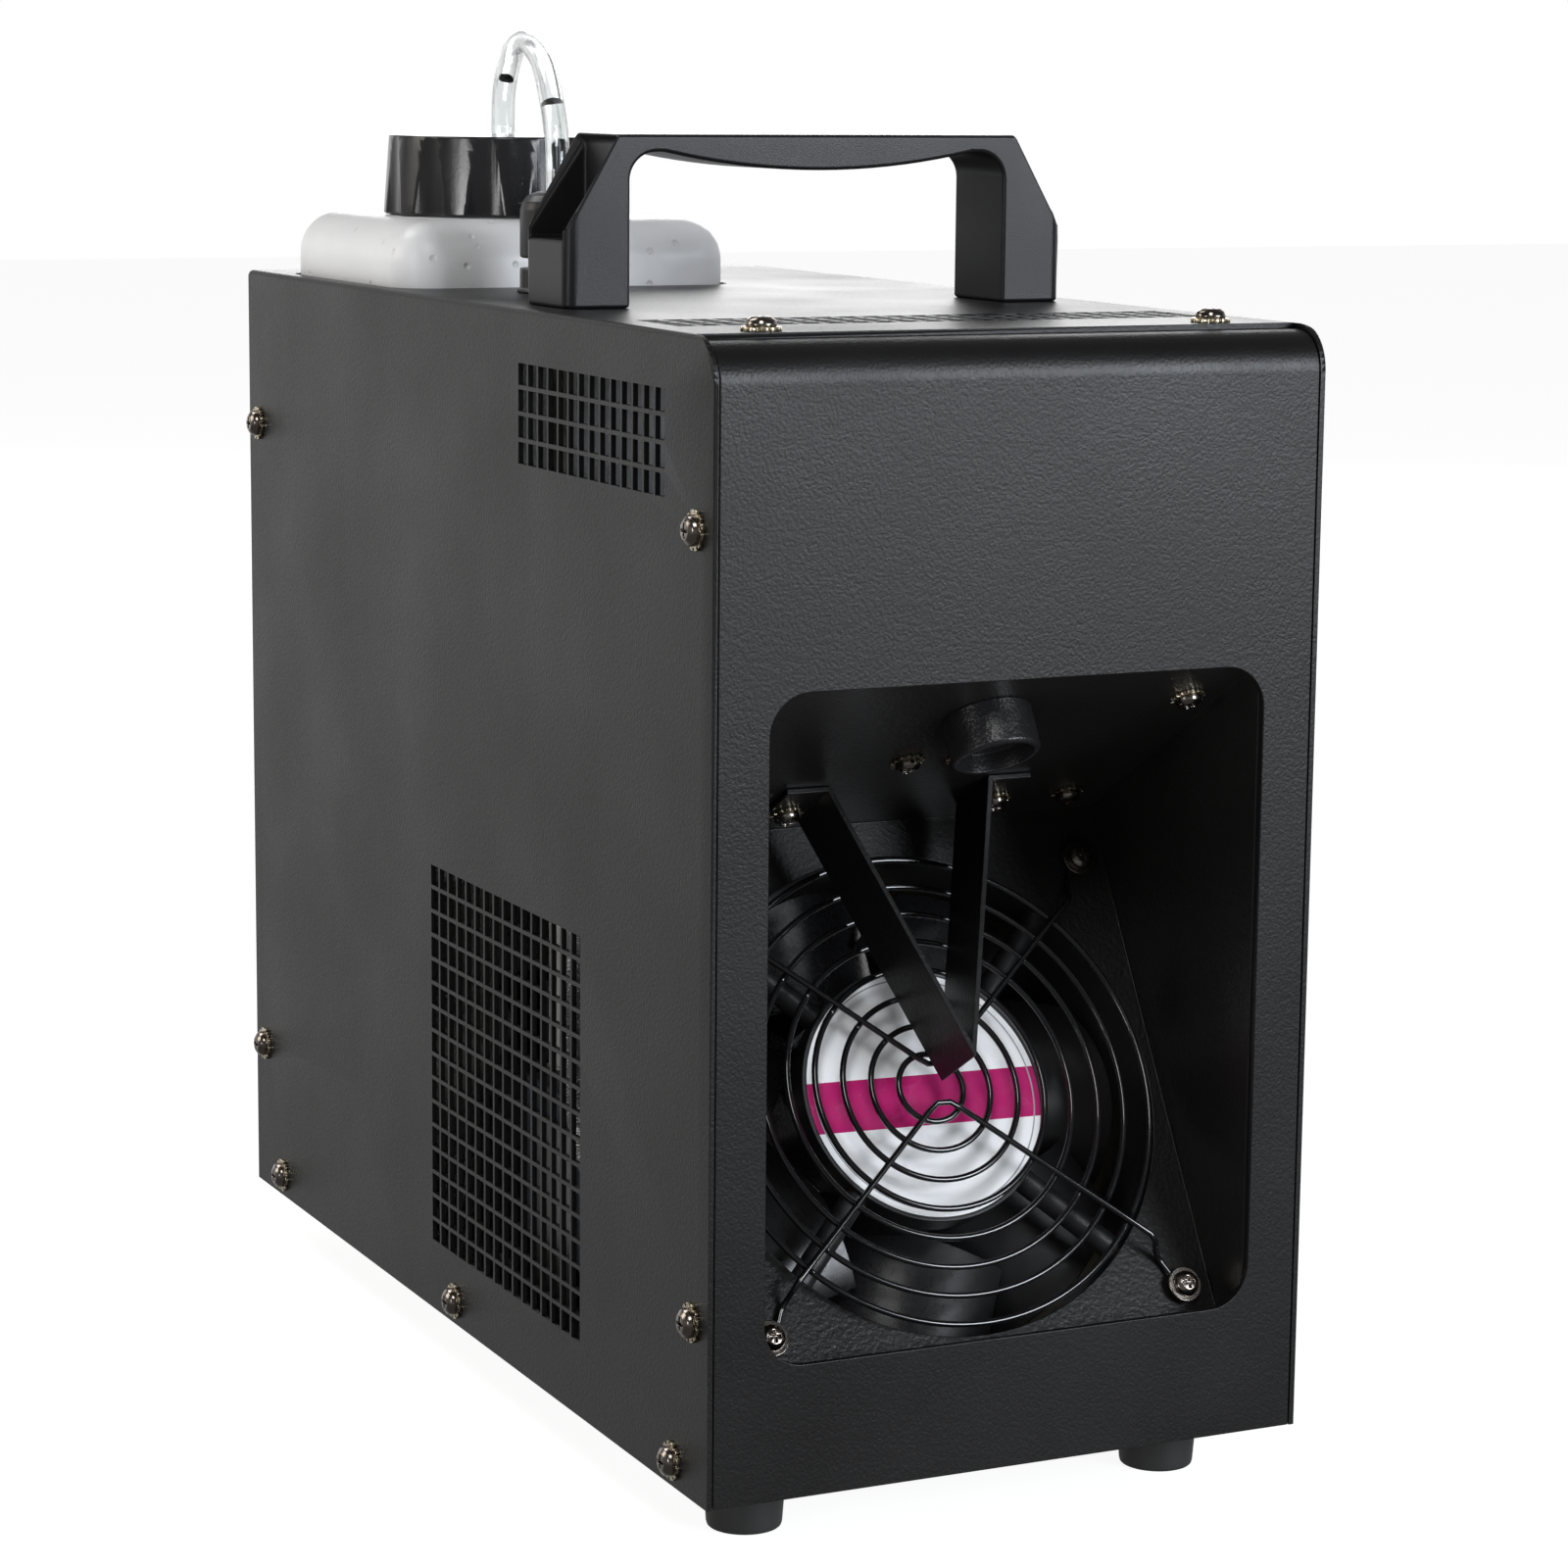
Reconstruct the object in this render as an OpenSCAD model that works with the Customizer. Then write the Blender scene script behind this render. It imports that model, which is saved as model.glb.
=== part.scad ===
// Small upright fog machine: a bent sheet-metal case with a tilted fan and a fog nozzle in a
// front recess, a lift-out fluid tank and a carrying handle on top, and pump, heater and
// electronics inside. Millimetres, +Z up. The front faces -Y and the right side is +X.
// The origin is on the floor, at the middle of the footprint.

/* [Case] */
// Width of the case
case_w = 148; // [147:1:150]
// Depth of the case, front to rear
case_d = 303; // [302:1:306]
// Height of the case without feet
case_h = 251.5; // [251:0.5:254]
// Thickness of the chassis sheet
sheet_t = 1.5; // [1.2:0.1:1.6]
// Thickness of the cover sheet
cover_t = 1.2; // [1:0.1:1.2]
// Radius of the bend along the top of the front panel
corner_r = 10; // [8:1:12]

/* [Feet] */
// Height of a rubber foot
foot_h = 14; // [12:1:18]
// Distance from the centre line to a front foot
foot_x = 53; // [48:1:56]
// Distance from the centre line to a rear foot
foot_rear_x = 47; // [44:1:56]
// Distance from the front panel to a front foot
foot_y = 26; // [24:1:30]

/* [Vents] */
// Side of a square vent hole
vent_hole = 5; // [4:0.5:5]
// Distance from one vent hole to the next
vent_pitch = 6; // [6:0.1:6.2]

/* [Fan] */
// Side of the fan's square frame
fan_size = 120; // [119:1:120]
// Depth of the fan
fan_depth = 38; // [32:1:38]
// Distance between the fan's screws
fan_screw_pitch = 104.8; // [104:0.1:105.5]
// Angle of the fan from upright
fan_tilt = 30.7; // [30:0.1:31.2]
// Number of fan blades
blade_count = 7; // [5:1:9]

/* [Nozzle] */
// Outer radius of the fog nozzle
nozzle_r = 10; // [9:0.5:12]
// Length of the nozzle below its plate
nozzle_len = 10.5; // [9:0.5:13]

/* [Handle] */
// Height of the handle over the case
handle_h = 39.5; // [36:0.5:44]
// Half of the handle's width
handle_half = 64.3; // [62:0.1:66]
// Front-to-rear size of the handle
handle_depth = 25; // [22:1:28]

/* [Tank] */
// Width of the tank
tank_w = 90; // [86:1:90]
// Front-to-rear size of the tank
tank_d = 87; // [84:1:87]
// Height of the tank without its neck
tank_h = 190; // [180:1:190]
// How far the tank lifts out
tank_lift = 185; // [180:1:220]
// Lead of the cap's thread for one turn
cap_pitch = 4; // [3:0.5:4]

/* [Hidden] */

// Rear connectors stand this far out, so the footprint's middle lies behind the case's
rear_out = 4.5;
front_y = -(case_d + rear_out) / 2;
wall_x = case_w / 2 - cover_t;
panel_half = wall_x - 0.3;
top_z = case_h - cover_t;
flange_x = panel_half - sheet_t;
washer_t = 0.9;
screw_r = 1.7;
hole_r = 2;
small_screw_r = 1.5;
small_hole_r = 1.75;
// Feet: x, distance from the front panel
feet = [
    [-foot_x, foot_y], [foot_x, foot_y],
    [-foot_rear_x, case_d - foot_y], [foot_rear_x, case_d - foot_y]
];
handle_screws = [[-56, 109], [56, 109], [-56, 122], [56, 122]];
top_screws = [[-55, 18], [55, 18]];

// Fan: its centre on the tilted plate, and the plate's edges measured from that centre
fan_y = 42.3;
fan_z = 76.1;
plate_top = 66.1;
recess_half = 60;
nozzle_x = 1.4;
mouth_depth = 4.5;
nozzle_y = -65.4;
fan_bore_r = 57.4;
hub_r = 29;
label_r = 29.2;
label_t = 0.3;
fan_front = sheet_t + 0.1;
screw_half = fan_screw_pitch / 2;
guard_rings = [8, 14.8, 21.7, 28.5, 35.3, 42, 48.6, 55.2];
guard_centre = [-1.6, -0.6];
ring_out = 5.05;
spoke_out = 6.4;
wire_r = 0.72;

// Strip that keeps fingers off the nozzle: its front edge and its width
guard_y = -26.5;
guard_w = 18.3;

// Front opening
open_half = 60.5;
open_low = 30;
open_high = 176.7;

// Handle and its place
handle_y = 103;
arm_x = 51.7;
shoulder_z = 17.5;
channel_z = 15.5;

// Tank, its cap and the fitting that the hose plugs into
tank_x = -23;
tank_y = 242.5;
tank_z = 78;
tank_top = tank_z + tank_h;
cap_x = -24.5;
cap_y = 242;
cap_r = 31;
cap_h = 20.2;
neck_r = 26;
neck_h = 16;
hose_r = 3;
fit_x = -38;
fit_y = 172;

// Rear panel places, in x and z
inlet_at = [44, 42];
switch_at = [12, 42];
dmx_in_at = [-18, 42];
dmx_out_at = [-48, 42];
window_at = [-10, 152];
latch_up = 12.4;
button_z = 124;
button_pitch = 16;
rear_y = case_d;
rocker_y = rear_y - 0.3;
rocker_tilt = 7;

// Screws through the cover's sides, in y and z, and the recess plate's, in its x and y
side_screws = concat(
    [for (y = [8, case_d - 8], z = [40, 211]) [y, z]],
    [for (y = [18, 150, case_d - 22]) [y, 6]]
);
recess_screws = [[50.5, -69.5], [-48, -11.5], [48, -11.5], [-7, -40], [7, -40]];
bracket_screws = [[-26.8, -14.5], [26.8, -14.5]];

// Centre lines of the hoses and wires, from the case's front, floor and middle
feed_route = [
    [-38, 172, 262], [-38, 172, 270], [-38, 172, 280], [-37.5, 174, 289.5],
    [-36.5, 180, 299], [-34.5, 189.5, 306.5], [-32.5, 201, 311], [-30, 213, 312.5],
    [-28, 224.5, 311], [-26, 234, 306.5], [-25, 240, 299.5], [-24.5, 242, 292],
    [-24.5, 242, 284], [-24.5, 242, 230], [-24.5, 242, 170], [-24.5, 242, 106]
];
braid_route = [
    [-42.2, 41.7, 193], [-50, 42.3, 192.5], [-58, 45, 189], [-64, 51, 179], [-66.5, 62, 160],
    [-66.5, 75, 136], [-66, 87, 112], [-66, 93, 90], [-65.5, 93, 72], [-63.5, 90, 56],
    [-58.5, 88, 45], [-52, 88, 42]
];
supply_route = [
    [-38, 172, 238], [-38, 172, 228], [-38, 172, 200], [-38, 171, 150], [-38, 170, 100],
    [-38, 170, 72], [-38, 170, 58]
];
live_route = [
    [39, 277, 47], [39, 268, 46], [42, 250, 34], [48, 225, 20], [50, 205, 19],
    [50, 190, 22], [50, 183, 22]
];
neutral_route = [
    [49, 277, 47], [49, 268, 46], [50, 250, 31], [54, 225, 17], [55, 205, 18],
    [55, 190, 22], [55, 183, 22]
];

$fn = 48;

// ---------------------------------------------------------------- helpers

// Case coordinates: x from the middle, y back from the front panel, z up from the underside
module at_case() translate([0, front_y, foot_h]) children();

// Fan coordinates: z up the tilted plate, y back into the case
module at_fan() at_case() translate([0, fan_y, fan_z]) rotate([-fan_tilt, 0, 0]) children();

// Extrudes an outline drawn in y and z across the width
module across(w) rotate([90, 0, 90]) linear_extrude(w, center = true) children();

// Extrudes an outline drawn in x and z back from y = 0
module back(d) translate([0, d, 0]) rotate([90, 0, 0]) linear_extrude(d) children();

// A cylinder along y, from y = 0 back
module rod_y(r, l) rotate([-90, 0, 0]) cylinder(r = r, h = l);

// A rectangle centred on the origin with round corners
module round_rect(w, h, r) {
    square([w - 2 * r, h], center = true);
    square([w, h - 2 * r], center = true);
    for (x = [-1, 1], y = [-1, 1]) translate([x * (w / 2 - r), y * (h / 2 - r)]) circle(r);
}

// What is cut off to round the corner at the far end of both axes
module corner_cut(r) difference() {
    square(r + 1);
    circle(r);
}

// A row-and-column grid of square holes whose first hole is at the origin
module vent_grid(columns, rows) {
    for (i = [0 : columns - 1], j = [0 : rows - 1])
        translate([i * vent_pitch, j * vent_pitch]) square(vent_hole);
}

// A box centred in x and y, with every edge rounded
module soft_box(w, d, h, r) intersection() {
    linear_extrude(h) round_rect(w, d, r);
    translate([0, 0, h / 2]) across(w) round_rect(d, h, r);
    translate([0, -d / 2, h / 2]) back(d) round_rect(w, h, r);
}

// Pan-head screw: seat at z = 0, head above and shank below
module pan_screw(l, r = screw_r) {
    k = r / 2;
    difference() {
        rotate_extrude() polygon([
            [0, 0], [3.9 * k, 0], [4 * k, 0.7 * k], [3.6 * k, 1.7 * k],
            [2.4 * k, 2.5 * k], [0, 2.7 * k]
        ]);
        for (a = [0, 90]) rotate(a) translate([-1.9 * k, -0.4 * k, 1.2 * k])
            cube([3.8 * k, 0.8 * k, 2 * k]);
    }
    translate([0, 0, -l]) cylinder(r = r, h = l + 0.1);
}

// Washer with a toothed rim
module toothed_washer(r = 4.4, hole = hole_r) difference() {
    linear_extrude(washer_t) difference() {
        circle(r);
        for (a = [0 : 30 : 330]) rotate(a) translate([r, 0]) rotate(18)
            square([1.5, 0.9], center = true);
    }
    translate([0, 0, -1]) cylinder(r = hole, h = 3);
}

module plain_washer(r = 4.1) difference() {
    cylinder(r = r, h = washer_t);
    translate([0, 0, -1]) cylinder(r = small_hole_r, h = 3);
}

// Places children at each cover screw, with z out of the sheet
module each_cover_screw() at_case() {
    for (s = [-1, 1], p = side_screws)
        translate([s * case_w / 2, p[0], p[1]]) rotate([0, s * 90, 0]) children();
    for (p = top_screws) translate([p[0], p[1], case_h]) children();
}

// Places children at each screw under the recess plate, with z out of the plate
module each_recess_screw() at_fan() {
    for (p = recess_screws) translate([p[0], p[1], plate_top]) rotate([180, 0, 0]) children();
}

module each_bracket_screw() at_fan() {
    for (p = bracket_screws) translate([p[0], p[1], plate_top - 1.3]) rotate([180, 0, 0]) children();
}

// Places children at the four fan screws, with z out of the tilted plate
module each_guard_screw() at_fan() {
    for (x = [-1, 1], z = [-1, 1]) translate([x * screw_half, 0, z * screw_half])
        rotate([90, 0, 0]) children();
}

// Smooth curve through a list of points, with n steps from each to the next
function at(p, i) = p[max(0, min(len(p) - 1, i))];
function between(a, b, c, d, t) = 0.5 * (2 * b + (c - a) * t
    + (2 * a - 5 * b + 4 * c - d) * t * t + (3 * b - a - 3 * c + d) * t * t * t);
function smooth(p, n) = [
    for (i = [0 : len(p) - 2], k = [0 : n - 1])
        between(at(p, i - 1), at(p, i), at(p, i + 1), at(p, i + 2), k / n),
    at(p, len(p) - 1)
];
function unit(v) = v / norm(v);
function heading(p, i) = unit(at(p, i + 1) - at(p, i - 1));
function ring(c, t, side, r, n) = let (u = unit(cross(t, side)), v = cross(t, u))
    [for (k = [0 : n - 1]) c + r * (cos(360 * k / n) * u + sin(360 * k / n) * v)];

// A round tube along a path; side is a direction that the path never takes
module tube(path, r, side = [1, 0, 0], n = 8) {
    last = len(path) - 1;
    rings = [for (i = [0 : last]) each ring(path[i], heading(path, i), side, r, n)];
    walls = [
        for (i = [0 : last - 1], k = [0 : n - 1])
            let (a = i * n + k, b = i * n + (k + 1) % n)
                each [[a, a + n, b], [b, a + n, b + n]]
    ];
    first_end = [for (k = [0 : n - 1]) k];
    last_end = [for (k = [n - 1 : -1 : 0]) last * n + k];
    polyhedron(rings, concat([first_end], walls, [last_end]));
}

// ---------------------------------------------------------------- case

// The bent sheet seen from the side: floor, front with its large bend, rear, and top lips
module chassis_outline(inset) difference() {
    translate([inset, inset]) square([case_d - 2 * inset, top_z - 0.1 - 2 * inset]);
    translate([corner_r - cover_t, top_z - 0.1 - corner_r + cover_t]) mirror([1, 0])
        corner_cut(corner_r - cover_t - inset);
}

module chassis() color([0.16, 0.16, 0.17]) at_case() difference() {
    union() {
        difference() {
            across(2 * panel_half) chassis_outline(0);
            across(case_w) chassis_outline(sheet_t);
            translate([-case_w, 30, top_z - 40]) cube([2 * case_w, case_d - 42, 60]);
        }
        for (s = [-1, 1]) scale([s, 1, 1]) {
            translate([flange_x, 1, 16]) cube([sheet_t, 14, top_z - 36]);
            translate([flange_x, 10, 1]) cube([sheet_t, case_d - 20, 12]);
            translate([flange_x, case_d - 15, 16]) cube([sheet_t, 14, top_z - 36]);
        }
    }
    // front opening
    translate([0, -1, (open_low + open_high) / 2]) back(4)
        round_rect(2 * open_half, open_high - open_low, 9.5);
    // screw holes
    for (p = side_screws) translate([-case_w, p[0], p[1]]) rotate([0, 90, 0])
        cylinder(r = hole_r, h = 2 * case_w);
    for (p = top_screws) translate([p[0], p[1], top_z - 10]) cylinder(r = hole_r, h = 20);
    for (p = feet) translate([p[0], p[1], -1]) cylinder(r = hole_r, h = 4);
    // rear cut-outs
    translate([inlet_at[0], rear_y - 3, inlet_at[1]]) back(6) square([27, 45.4], center = true);
    translate([switch_at[0], rear_y - 3, switch_at[1]]) back(6) square([16.4, 23.4], center = true);
    for (p = [dmx_in_at, dmx_out_at]) {
        translate([p[0], rear_y - 3, p[1]]) rod_y(11.6, 6);
        for (s = [-1, 1]) translate([p[0] + s * 9.5, rear_y - 3, p[1] - s * 12]) rod_y(1.5, 6);
    }
    translate([dmx_out_at[0], rear_y - 3, dmx_out_at[1] + latch_up]) back(6)
        square([6.8, 3.8], center = true);
    translate([window_at[0], rear_y - 3, window_at[1]]) back(6) square([50.4, 20.4], center = true);
    for (i = [0 : 3]) translate([window_at[0] + (i - 1.5) * button_pitch, rear_y - 3, button_z])
        rod_y(4.5, 6);
}

module cover() color([0.2, 0.2, 0.19]) at_case() difference() {
    intersection() {
        across(case_w) difference() {
            square([case_d, case_h]);
            translate([corner_r, case_h - corner_r]) mirror([1, 0]) corner_cut(corner_r);
        }
        back(case_d) difference() {
            translate([-case_w / 2, 0]) square([case_w, case_h]);
            translate([0, -1]) square([2 * wall_x, 2 * (top_z + 1)], center = true);
            for (s = [0, 1]) mirror([s, 0]) translate([case_w / 2 - 1.6, case_h - 1.6]) corner_cut(1.6);
        }
    }
    // the front panel's bend shows ahead of the cover's top
    translate([-wall_x, -1, top_z - 20]) cube([2 * wall_x, 13, 40]);
    // side vents
    translate([0, 70.8, 17.7]) across(2 * case_w) vent_grid(16, 16);
    translate([0, 24.9, 216.3]) across(2 * case_w) vent_grid(14, 4);
    // top vent
    translate([-(21 * vent_pitch + vent_hole) / 2, 37.4, top_z - 3]) linear_extrude(8) vent_grid(22, 4);
    // tank opening, fitting and handle screws
    translate([tank_x, tank_y, top_z - 3]) linear_extrude(8) round_rect(tank_w + 2, tank_d + 2, 9.8);
    translate([fit_x, fit_y, top_z - 3]) cylinder(r = 6.7, h = 8);
    for (p = handle_screws) translate([p[0], p[1], top_z - 3]) cylinder(r = hole_r, h = 8);
    for (p = side_screws) translate([-case_w, p[0], p[1]]) rotate([0, 90, 0])
        cylinder(r = hole_r, h = 2 * case_w);
    for (p = top_screws) translate([p[0], p[1], top_z - 10]) cylinder(r = hole_r, h = 20);
}

module foot(i) color([0.09, 0.09, 0.09])
translate([feet[i][0], front_y + feet[i][1], 0]) difference() {
    rotate_extrude() polygon([[0, 0], [8, 0], [8.5, 0.5], [9.5, foot_h], [0, foot_h]]);
    translate([0, 0, -1]) cylinder(r = 4.8, h = foot_h - 5);
    cylinder(r = hole_r, h = foot_h + 1);
}

module pan_screws() color([0.45, 0.42, 0.38]) {
    each_cover_screw() translate([0, 0, washer_t]) pan_screw(7);
    each_recess_screw() translate([0, 0, washer_t]) pan_screw(6, small_screw_r);
    each_bracket_screw() translate([0, 0, washer_t]) pan_screw(6, small_screw_r);
    each_guard_screw() translate([0, 0, 2 * wire_r + washer_t]) pan_screw(9, small_screw_r);
    at_case() for (p = handle_screws)
        translate([p[0], p[1], top_z - washer_t]) rotate([180, 0, 0]) pan_screw(8);
    for (p = feet) translate([p[0], front_y + p[1], foot_h - 6]) rotate([180, 0, 0])
        pan_screw(10);
    at_case() {
        for (s = [-1, 1], p = [dmx_in_at, dmx_out_at])
            translate([p[0] + s * 9.5, rear_y + 1.8, p[1] - s * 12]) rotate([-90, 0, 0])
                pan_screw(3.4, 1.4);
    }
}

module toothed_washers() color([0.75, 0.68, 0.45]) {
    each_cover_screw() toothed_washer();
    each_recess_screw() toothed_washer(4, small_hole_r);
    each_bracket_screw() toothed_washer(4, small_hole_r);
    at_case() for (p = handle_screws)
        translate([p[0], p[1], top_z - washer_t]) toothed_washer();
}

// ---------------------------------------------------------------- recess

// The space in front of the tilted plate and under the nozzle plate
module wedge(half, grow) intersection() {
    at_fan() translate([-half, -150, -90]) cube([2 * half, 150 + grow, 90 + plate_top + grow]);
    at_case() translate([-case_w, 1.6, 7]) cube([2 * case_w, 120, 200]);
}

module recess_shroud() color([0.19, 0.19, 0.2]) difference() {
    union() {
        wedge(recess_half + sheet_t, sheet_t);
        at_case() translate([-recess_half - 9, 1.6, 8]) cube([2 * recess_half + 18, sheet_t, 175]);
    }
    at_fan() translate([-recess_half, -150, -90]) cube([2 * recess_half, 150, 90 + plate_top]);
    at_fan() {
        translate([0, -1, 0]) rod_y(fan_bore_r, 4);
        for (x = [-1, 1], z = [-1, 1])
            translate([x * screw_half, -1, z * screw_half]) rod_y(small_hole_r, 4);
        translate([nozzle_x, nozzle_y, plate_top - 1]) cylinder(r = 6.3, h = 4);
        for (p = concat(recess_screws, bracket_screws))
            translate([p[0], p[1], plate_top - 1]) cylinder(r = small_hole_r, h = 4);
    }
}

// Nozzle coordinates: z up the nozzle's axis, from the plate that it comes through
module at_nozzle(up = 0) at_fan() translate([nozzle_x, nozzle_y, plate_top + up]) children();

module nozzle() color([0.14, 0.14, 0.15]) at_nozzle(-nozzle_len)
    difference() {
        rotate_extrude() polygon([
            [0, 0], [nozzle_r - 0.9, 0], [nozzle_r - 0.3, 0.3], [nozzle_r, 0.9],
            [nozzle_r, nozzle_len], [0, nozzle_len]
        ]);
        translate([0, 0, -1]) cylinder(r = 3, h = nozzle_len + 2);
        // mouth
        translate([0, 0, -1]) cylinder(r = nozzle_r - 1.5, h = mouth_depth + 1);
    }

module nozzle_tip() color([0.7, 0.55, 0.3]) at_nozzle(-nozzle_len)
    difference() {
        translate([0, 0, mouth_depth - 0.8]) cylinder(r = 2.9, h = 6.6 - mouth_depth + 0.8);
        cylinder(r = 0.6, h = 8);
        translate([0, 0, mouth_depth + 0.6]) cylinder(r = 1.6, h = 5);
    }

module nozzle_stem() color([0.6, 0.6, 0.6]) at_nozzle() difference() {
    union() {
        translate([0, 0, 0.1]) cylinder(r = 6, h = 13);
        cylinder(r = 4.9, h = 25);
        translate([0, 0, -3.5]) cylinder(r = 2.9, h = 5);
    }
    translate([0, 0, -5]) cylinder(r = 1.5, h = 30);
}

// Strip bent to a V under the nozzle, with a foot at each end
module nozzle_guard() color([0.17, 0.17, 0.18]) at_fan() translate([0, guard_y, 0]) difference() {
    back(guard_w) difference() {
        union() {
            polygon([[-21.6, plate_top - 0.1], [0, -0.9], [21.6, plate_top - 0.1]]);
            for (s = [-1, 1]) translate([s * 26, plate_top - 0.7]) square([10.4, 1.2], center = true);
        }
        polygon([[-20.2, plate_top], [0, 3], [20.2, plate_top]]);
        translate([-5, -2]) square([10, 1.8]);
    }
    for (p = bracket_screws) translate([p[0], p[1] - guard_y, plate_top - 3])
        cylinder(r = small_hole_r, h = 6);
}

// Half of a spoke of the guard, from its middle out to a screw
spoke_half = [
    [1.6, spoke_out, 4.7], [4, spoke_out, 6.4], [38, spoke_out, 35.4], [44.3, spoke_out, 40.8],
    [45.6, 5.4, 42.4], [46.4, 3.2, 43.7], [47.3, 1.5, 45], [48.4, 0.95, 46.6],
    [50.2, wire_r + 0.1, 50.2]
];
function spoke(s) = concat(
    [for (i = [len(spoke_half) - 1 : -1 : 0])
        [-spoke_half[i][0], -spoke_half[i][1], s * spoke_half[i][2]]],
    [for (p = spoke_half) [p[0], -p[1], s * p[2]]]
);

module finger_guard() color([0.08, 0.08, 0.09]) at_fan() {
    for (r = guard_rings) translate([guard_centre[0], -ring_out, guard_centre[1]])
        rotate([90, 0, 0]) rotate_extrude() translate([r, 0]) circle(wire_r, $fn = 16);
    for (s = [-1, 1]) tube(spoke(s), wire_r, [0, 1, 0]);
    for (x = [-1, 1], z = [-1, 1]) translate([x * screw_half, -wire_r - 0.05, z * screw_half])
        rotate([90, 0, 0]) rotate_extrude() translate([2.9, 0]) circle(wire_r - 0.1, $fn = 16);
}

module guard_washers() color([0.62, 0.6, 0.56])
    each_guard_screw() translate([0, 0, 2 * wire_r]) plain_washer();

// ---------------------------------------------------------------- fan

module fan_frame() color([0.1, 0.1, 0.1]) at_fan() translate([0, fan_front, 0]) {
    difference() {
        union() {
            for (y = [0, fan_depth - 4.5]) translate([0, y, 0]) back(4.5) round_rect(fan_size, fan_size, 5);
            rod_y(fan_size / 2 - 0.2, fan_depth);
        }
        translate([0, -1, 0]) rod_y(fan_bore_r, fan_depth + 2);
        for (x = [-1, 1], z = [-1, 1]) translate([x * screw_half, -1, z * screw_half])
            rod_y(small_hole_r, fan_depth + 2);
    }
    difference() {
        union() {
            rod_y(label_r + 1.1, 7);
            rod_y(9, 22);
            for (a = [45 : 90 : 315]) rotate([0, a, 0]) translate([0, 4.2, 0])
                cylinder(r = 2.9, h = fan_bore_r + 0.4);
        }
        translate([0, 2.5, 0]) rod_y(4.55, 30);
        translate([0, -1, 0]) rod_y(label_r + 0.1, 1 + label_t + 0.05);
    }
}

module fan_label() color([0.93, 0.93, 0.92]) at_fan() translate([0, fan_front, 0])
    rod_y(label_r, label_t);

module fan_bearing() color([0.72, 0.6, 0.35]) at_fan() translate([0, fan_front + 3.5, 0]) difference() {
    rod_y(4.5, 18);
    translate([0, -1, 0]) rod_y(2.05, 20);
}

module fan_stator() color([0.6, 0.36, 0.2]) at_fan() translate([0, fan_front + 9.5, 0]) difference() {
    rod_y(22, 12);
    translate([0, -1, 0]) rod_y(9.1, 14);
}

module fan_rotor() color([0.12, 0.12, 0.12]) at_fan() translate([0, fan_front, 0]) {
    difference() {
        translate([0, 8, 0]) rod_y(hub_r, fan_depth - 10);
        translate([0, 7, 0]) rod_y(26, 19);
    }
    translate([0, 5, 0]) rod_y(2, 22);
    intersection() {
        difference() {
            translate([0, 8.5, 0]) rod_y(fan_bore_r - 1, fan_depth - 11);
            translate([0, 7, 0]) rod_y(hub_r - 0.4, fan_depth);
        }
        for (a = [0 : 360 / blade_count : 359]) rotate([0, a, 0]) translate([0, 21.5, hub_r - 2])
            rotate([0, 0, 38]) translate([0, 30, 0]) difference() {
                cylinder(r = 31, h = 40, $fn = 96);
                translate([0, 0, -1]) cylinder(r = 29.2, h = 42, $fn = 96);
                translate([-40, -12, -1]) cube([80, 60, 42]);
            }
    }
}

// ---------------------------------------------------------------- heater and pump

module heater_block() color([0.66, 0.67, 0.68]) at_nozzle(15.9) difference() {
    translate([-29, -20, 0]) cube([58, 40, 54]);
    translate([0, 0, -1]) cylinder(r = 5, h = 12);
    for (x = [-18, 18]) translate([x, 0, 12]) cylinder(r = 4, h = 60);
}

module heater_jacket() color([0.82, 0.8, 0.74]) at_nozzle(13.9) difference() {
    translate([-33, -24, 0]) cube([66, 48, 60]);
    translate([-29.2, -20.2, -1]) cube([58.4, 40.4, 57.4]);
    translate([-40, 5, 20]) rotate([0, 90, 0]) cylinder(r = 6, h = 12);
}

module heater_inlet() color([0.7, 0.55, 0.3]) at_nozzle(33.9) translate([0, 5, 0]) {
    translate([-44, 0, 0]) rotate([0, 90, 0]) cylinder(r = 3, h = 14.9);
    translate([-38, 0, 0]) rotate([0, 90, 0]) cylinder(r = 5.6, h = 6, $fn = 6);
}

module thermostat() color([0.85, 0.84, 0.8]) at_nozzle(41.9) translate([33.1, 0, 0])
    rotate([0, 90, 0]) {
        cylinder(r = 8, h = 6);
        for (y = [-4, 4]) translate([-1.5, y - 0.4, 5.9]) cube([3, 0.8, 7]);
    }

module pump_coil() color([0.16, 0.18, 0.2]) at_case() difference() {
    translate([-56, 108, 22]) cube([36, 42, 40]);
    translate([-38, 107, 42]) rod_y(9.1, 44);
}

module pump_tube() color([0.78, 0.76, 0.7]) at_case() translate([-38, 0, 42]) difference() {
    union() {
        translate([0, 94, 0]) rod_y(9, 72);
        translate([0, 84, 0]) rod_y(5.5, 12);
        translate([0, 170, 0]) cylinder(r = 4, h = 16);
        translate([0, 164, 0]) rod_y(6, 11);
        translate([-14, 88, 0]) rotate([0, 90, 0]) cylinder(r = 4, h = 14);
    }
    translate([0, 98, 0]) rod_y(6.8, 62);
}

module pump_plunger() color([0.55, 0.56, 0.58]) at_case() translate([-38, 108, 42]) rod_y(6.5, 40);

module pump_bracket() color([0.7, 0.7, 0.68]) at_case() {
    translate([-57.5, 116, 1.6]) cube([39, 26, 1.2]);
    for (x = [-57.5, -19.7]) translate([x, 116, 2.8]) cube([1.2, 26, 52]);
}

module supply_hose() color([0.9, 0.9, 0.88]) at_case() tube(smooth(supply_route, 2), hose_r);

module braided_hose() color([0.75, 0.75, 0.76]) at_case() tube(smooth(braid_route, 3), 3.6, [0.3, 1, 0.2]);

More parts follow.
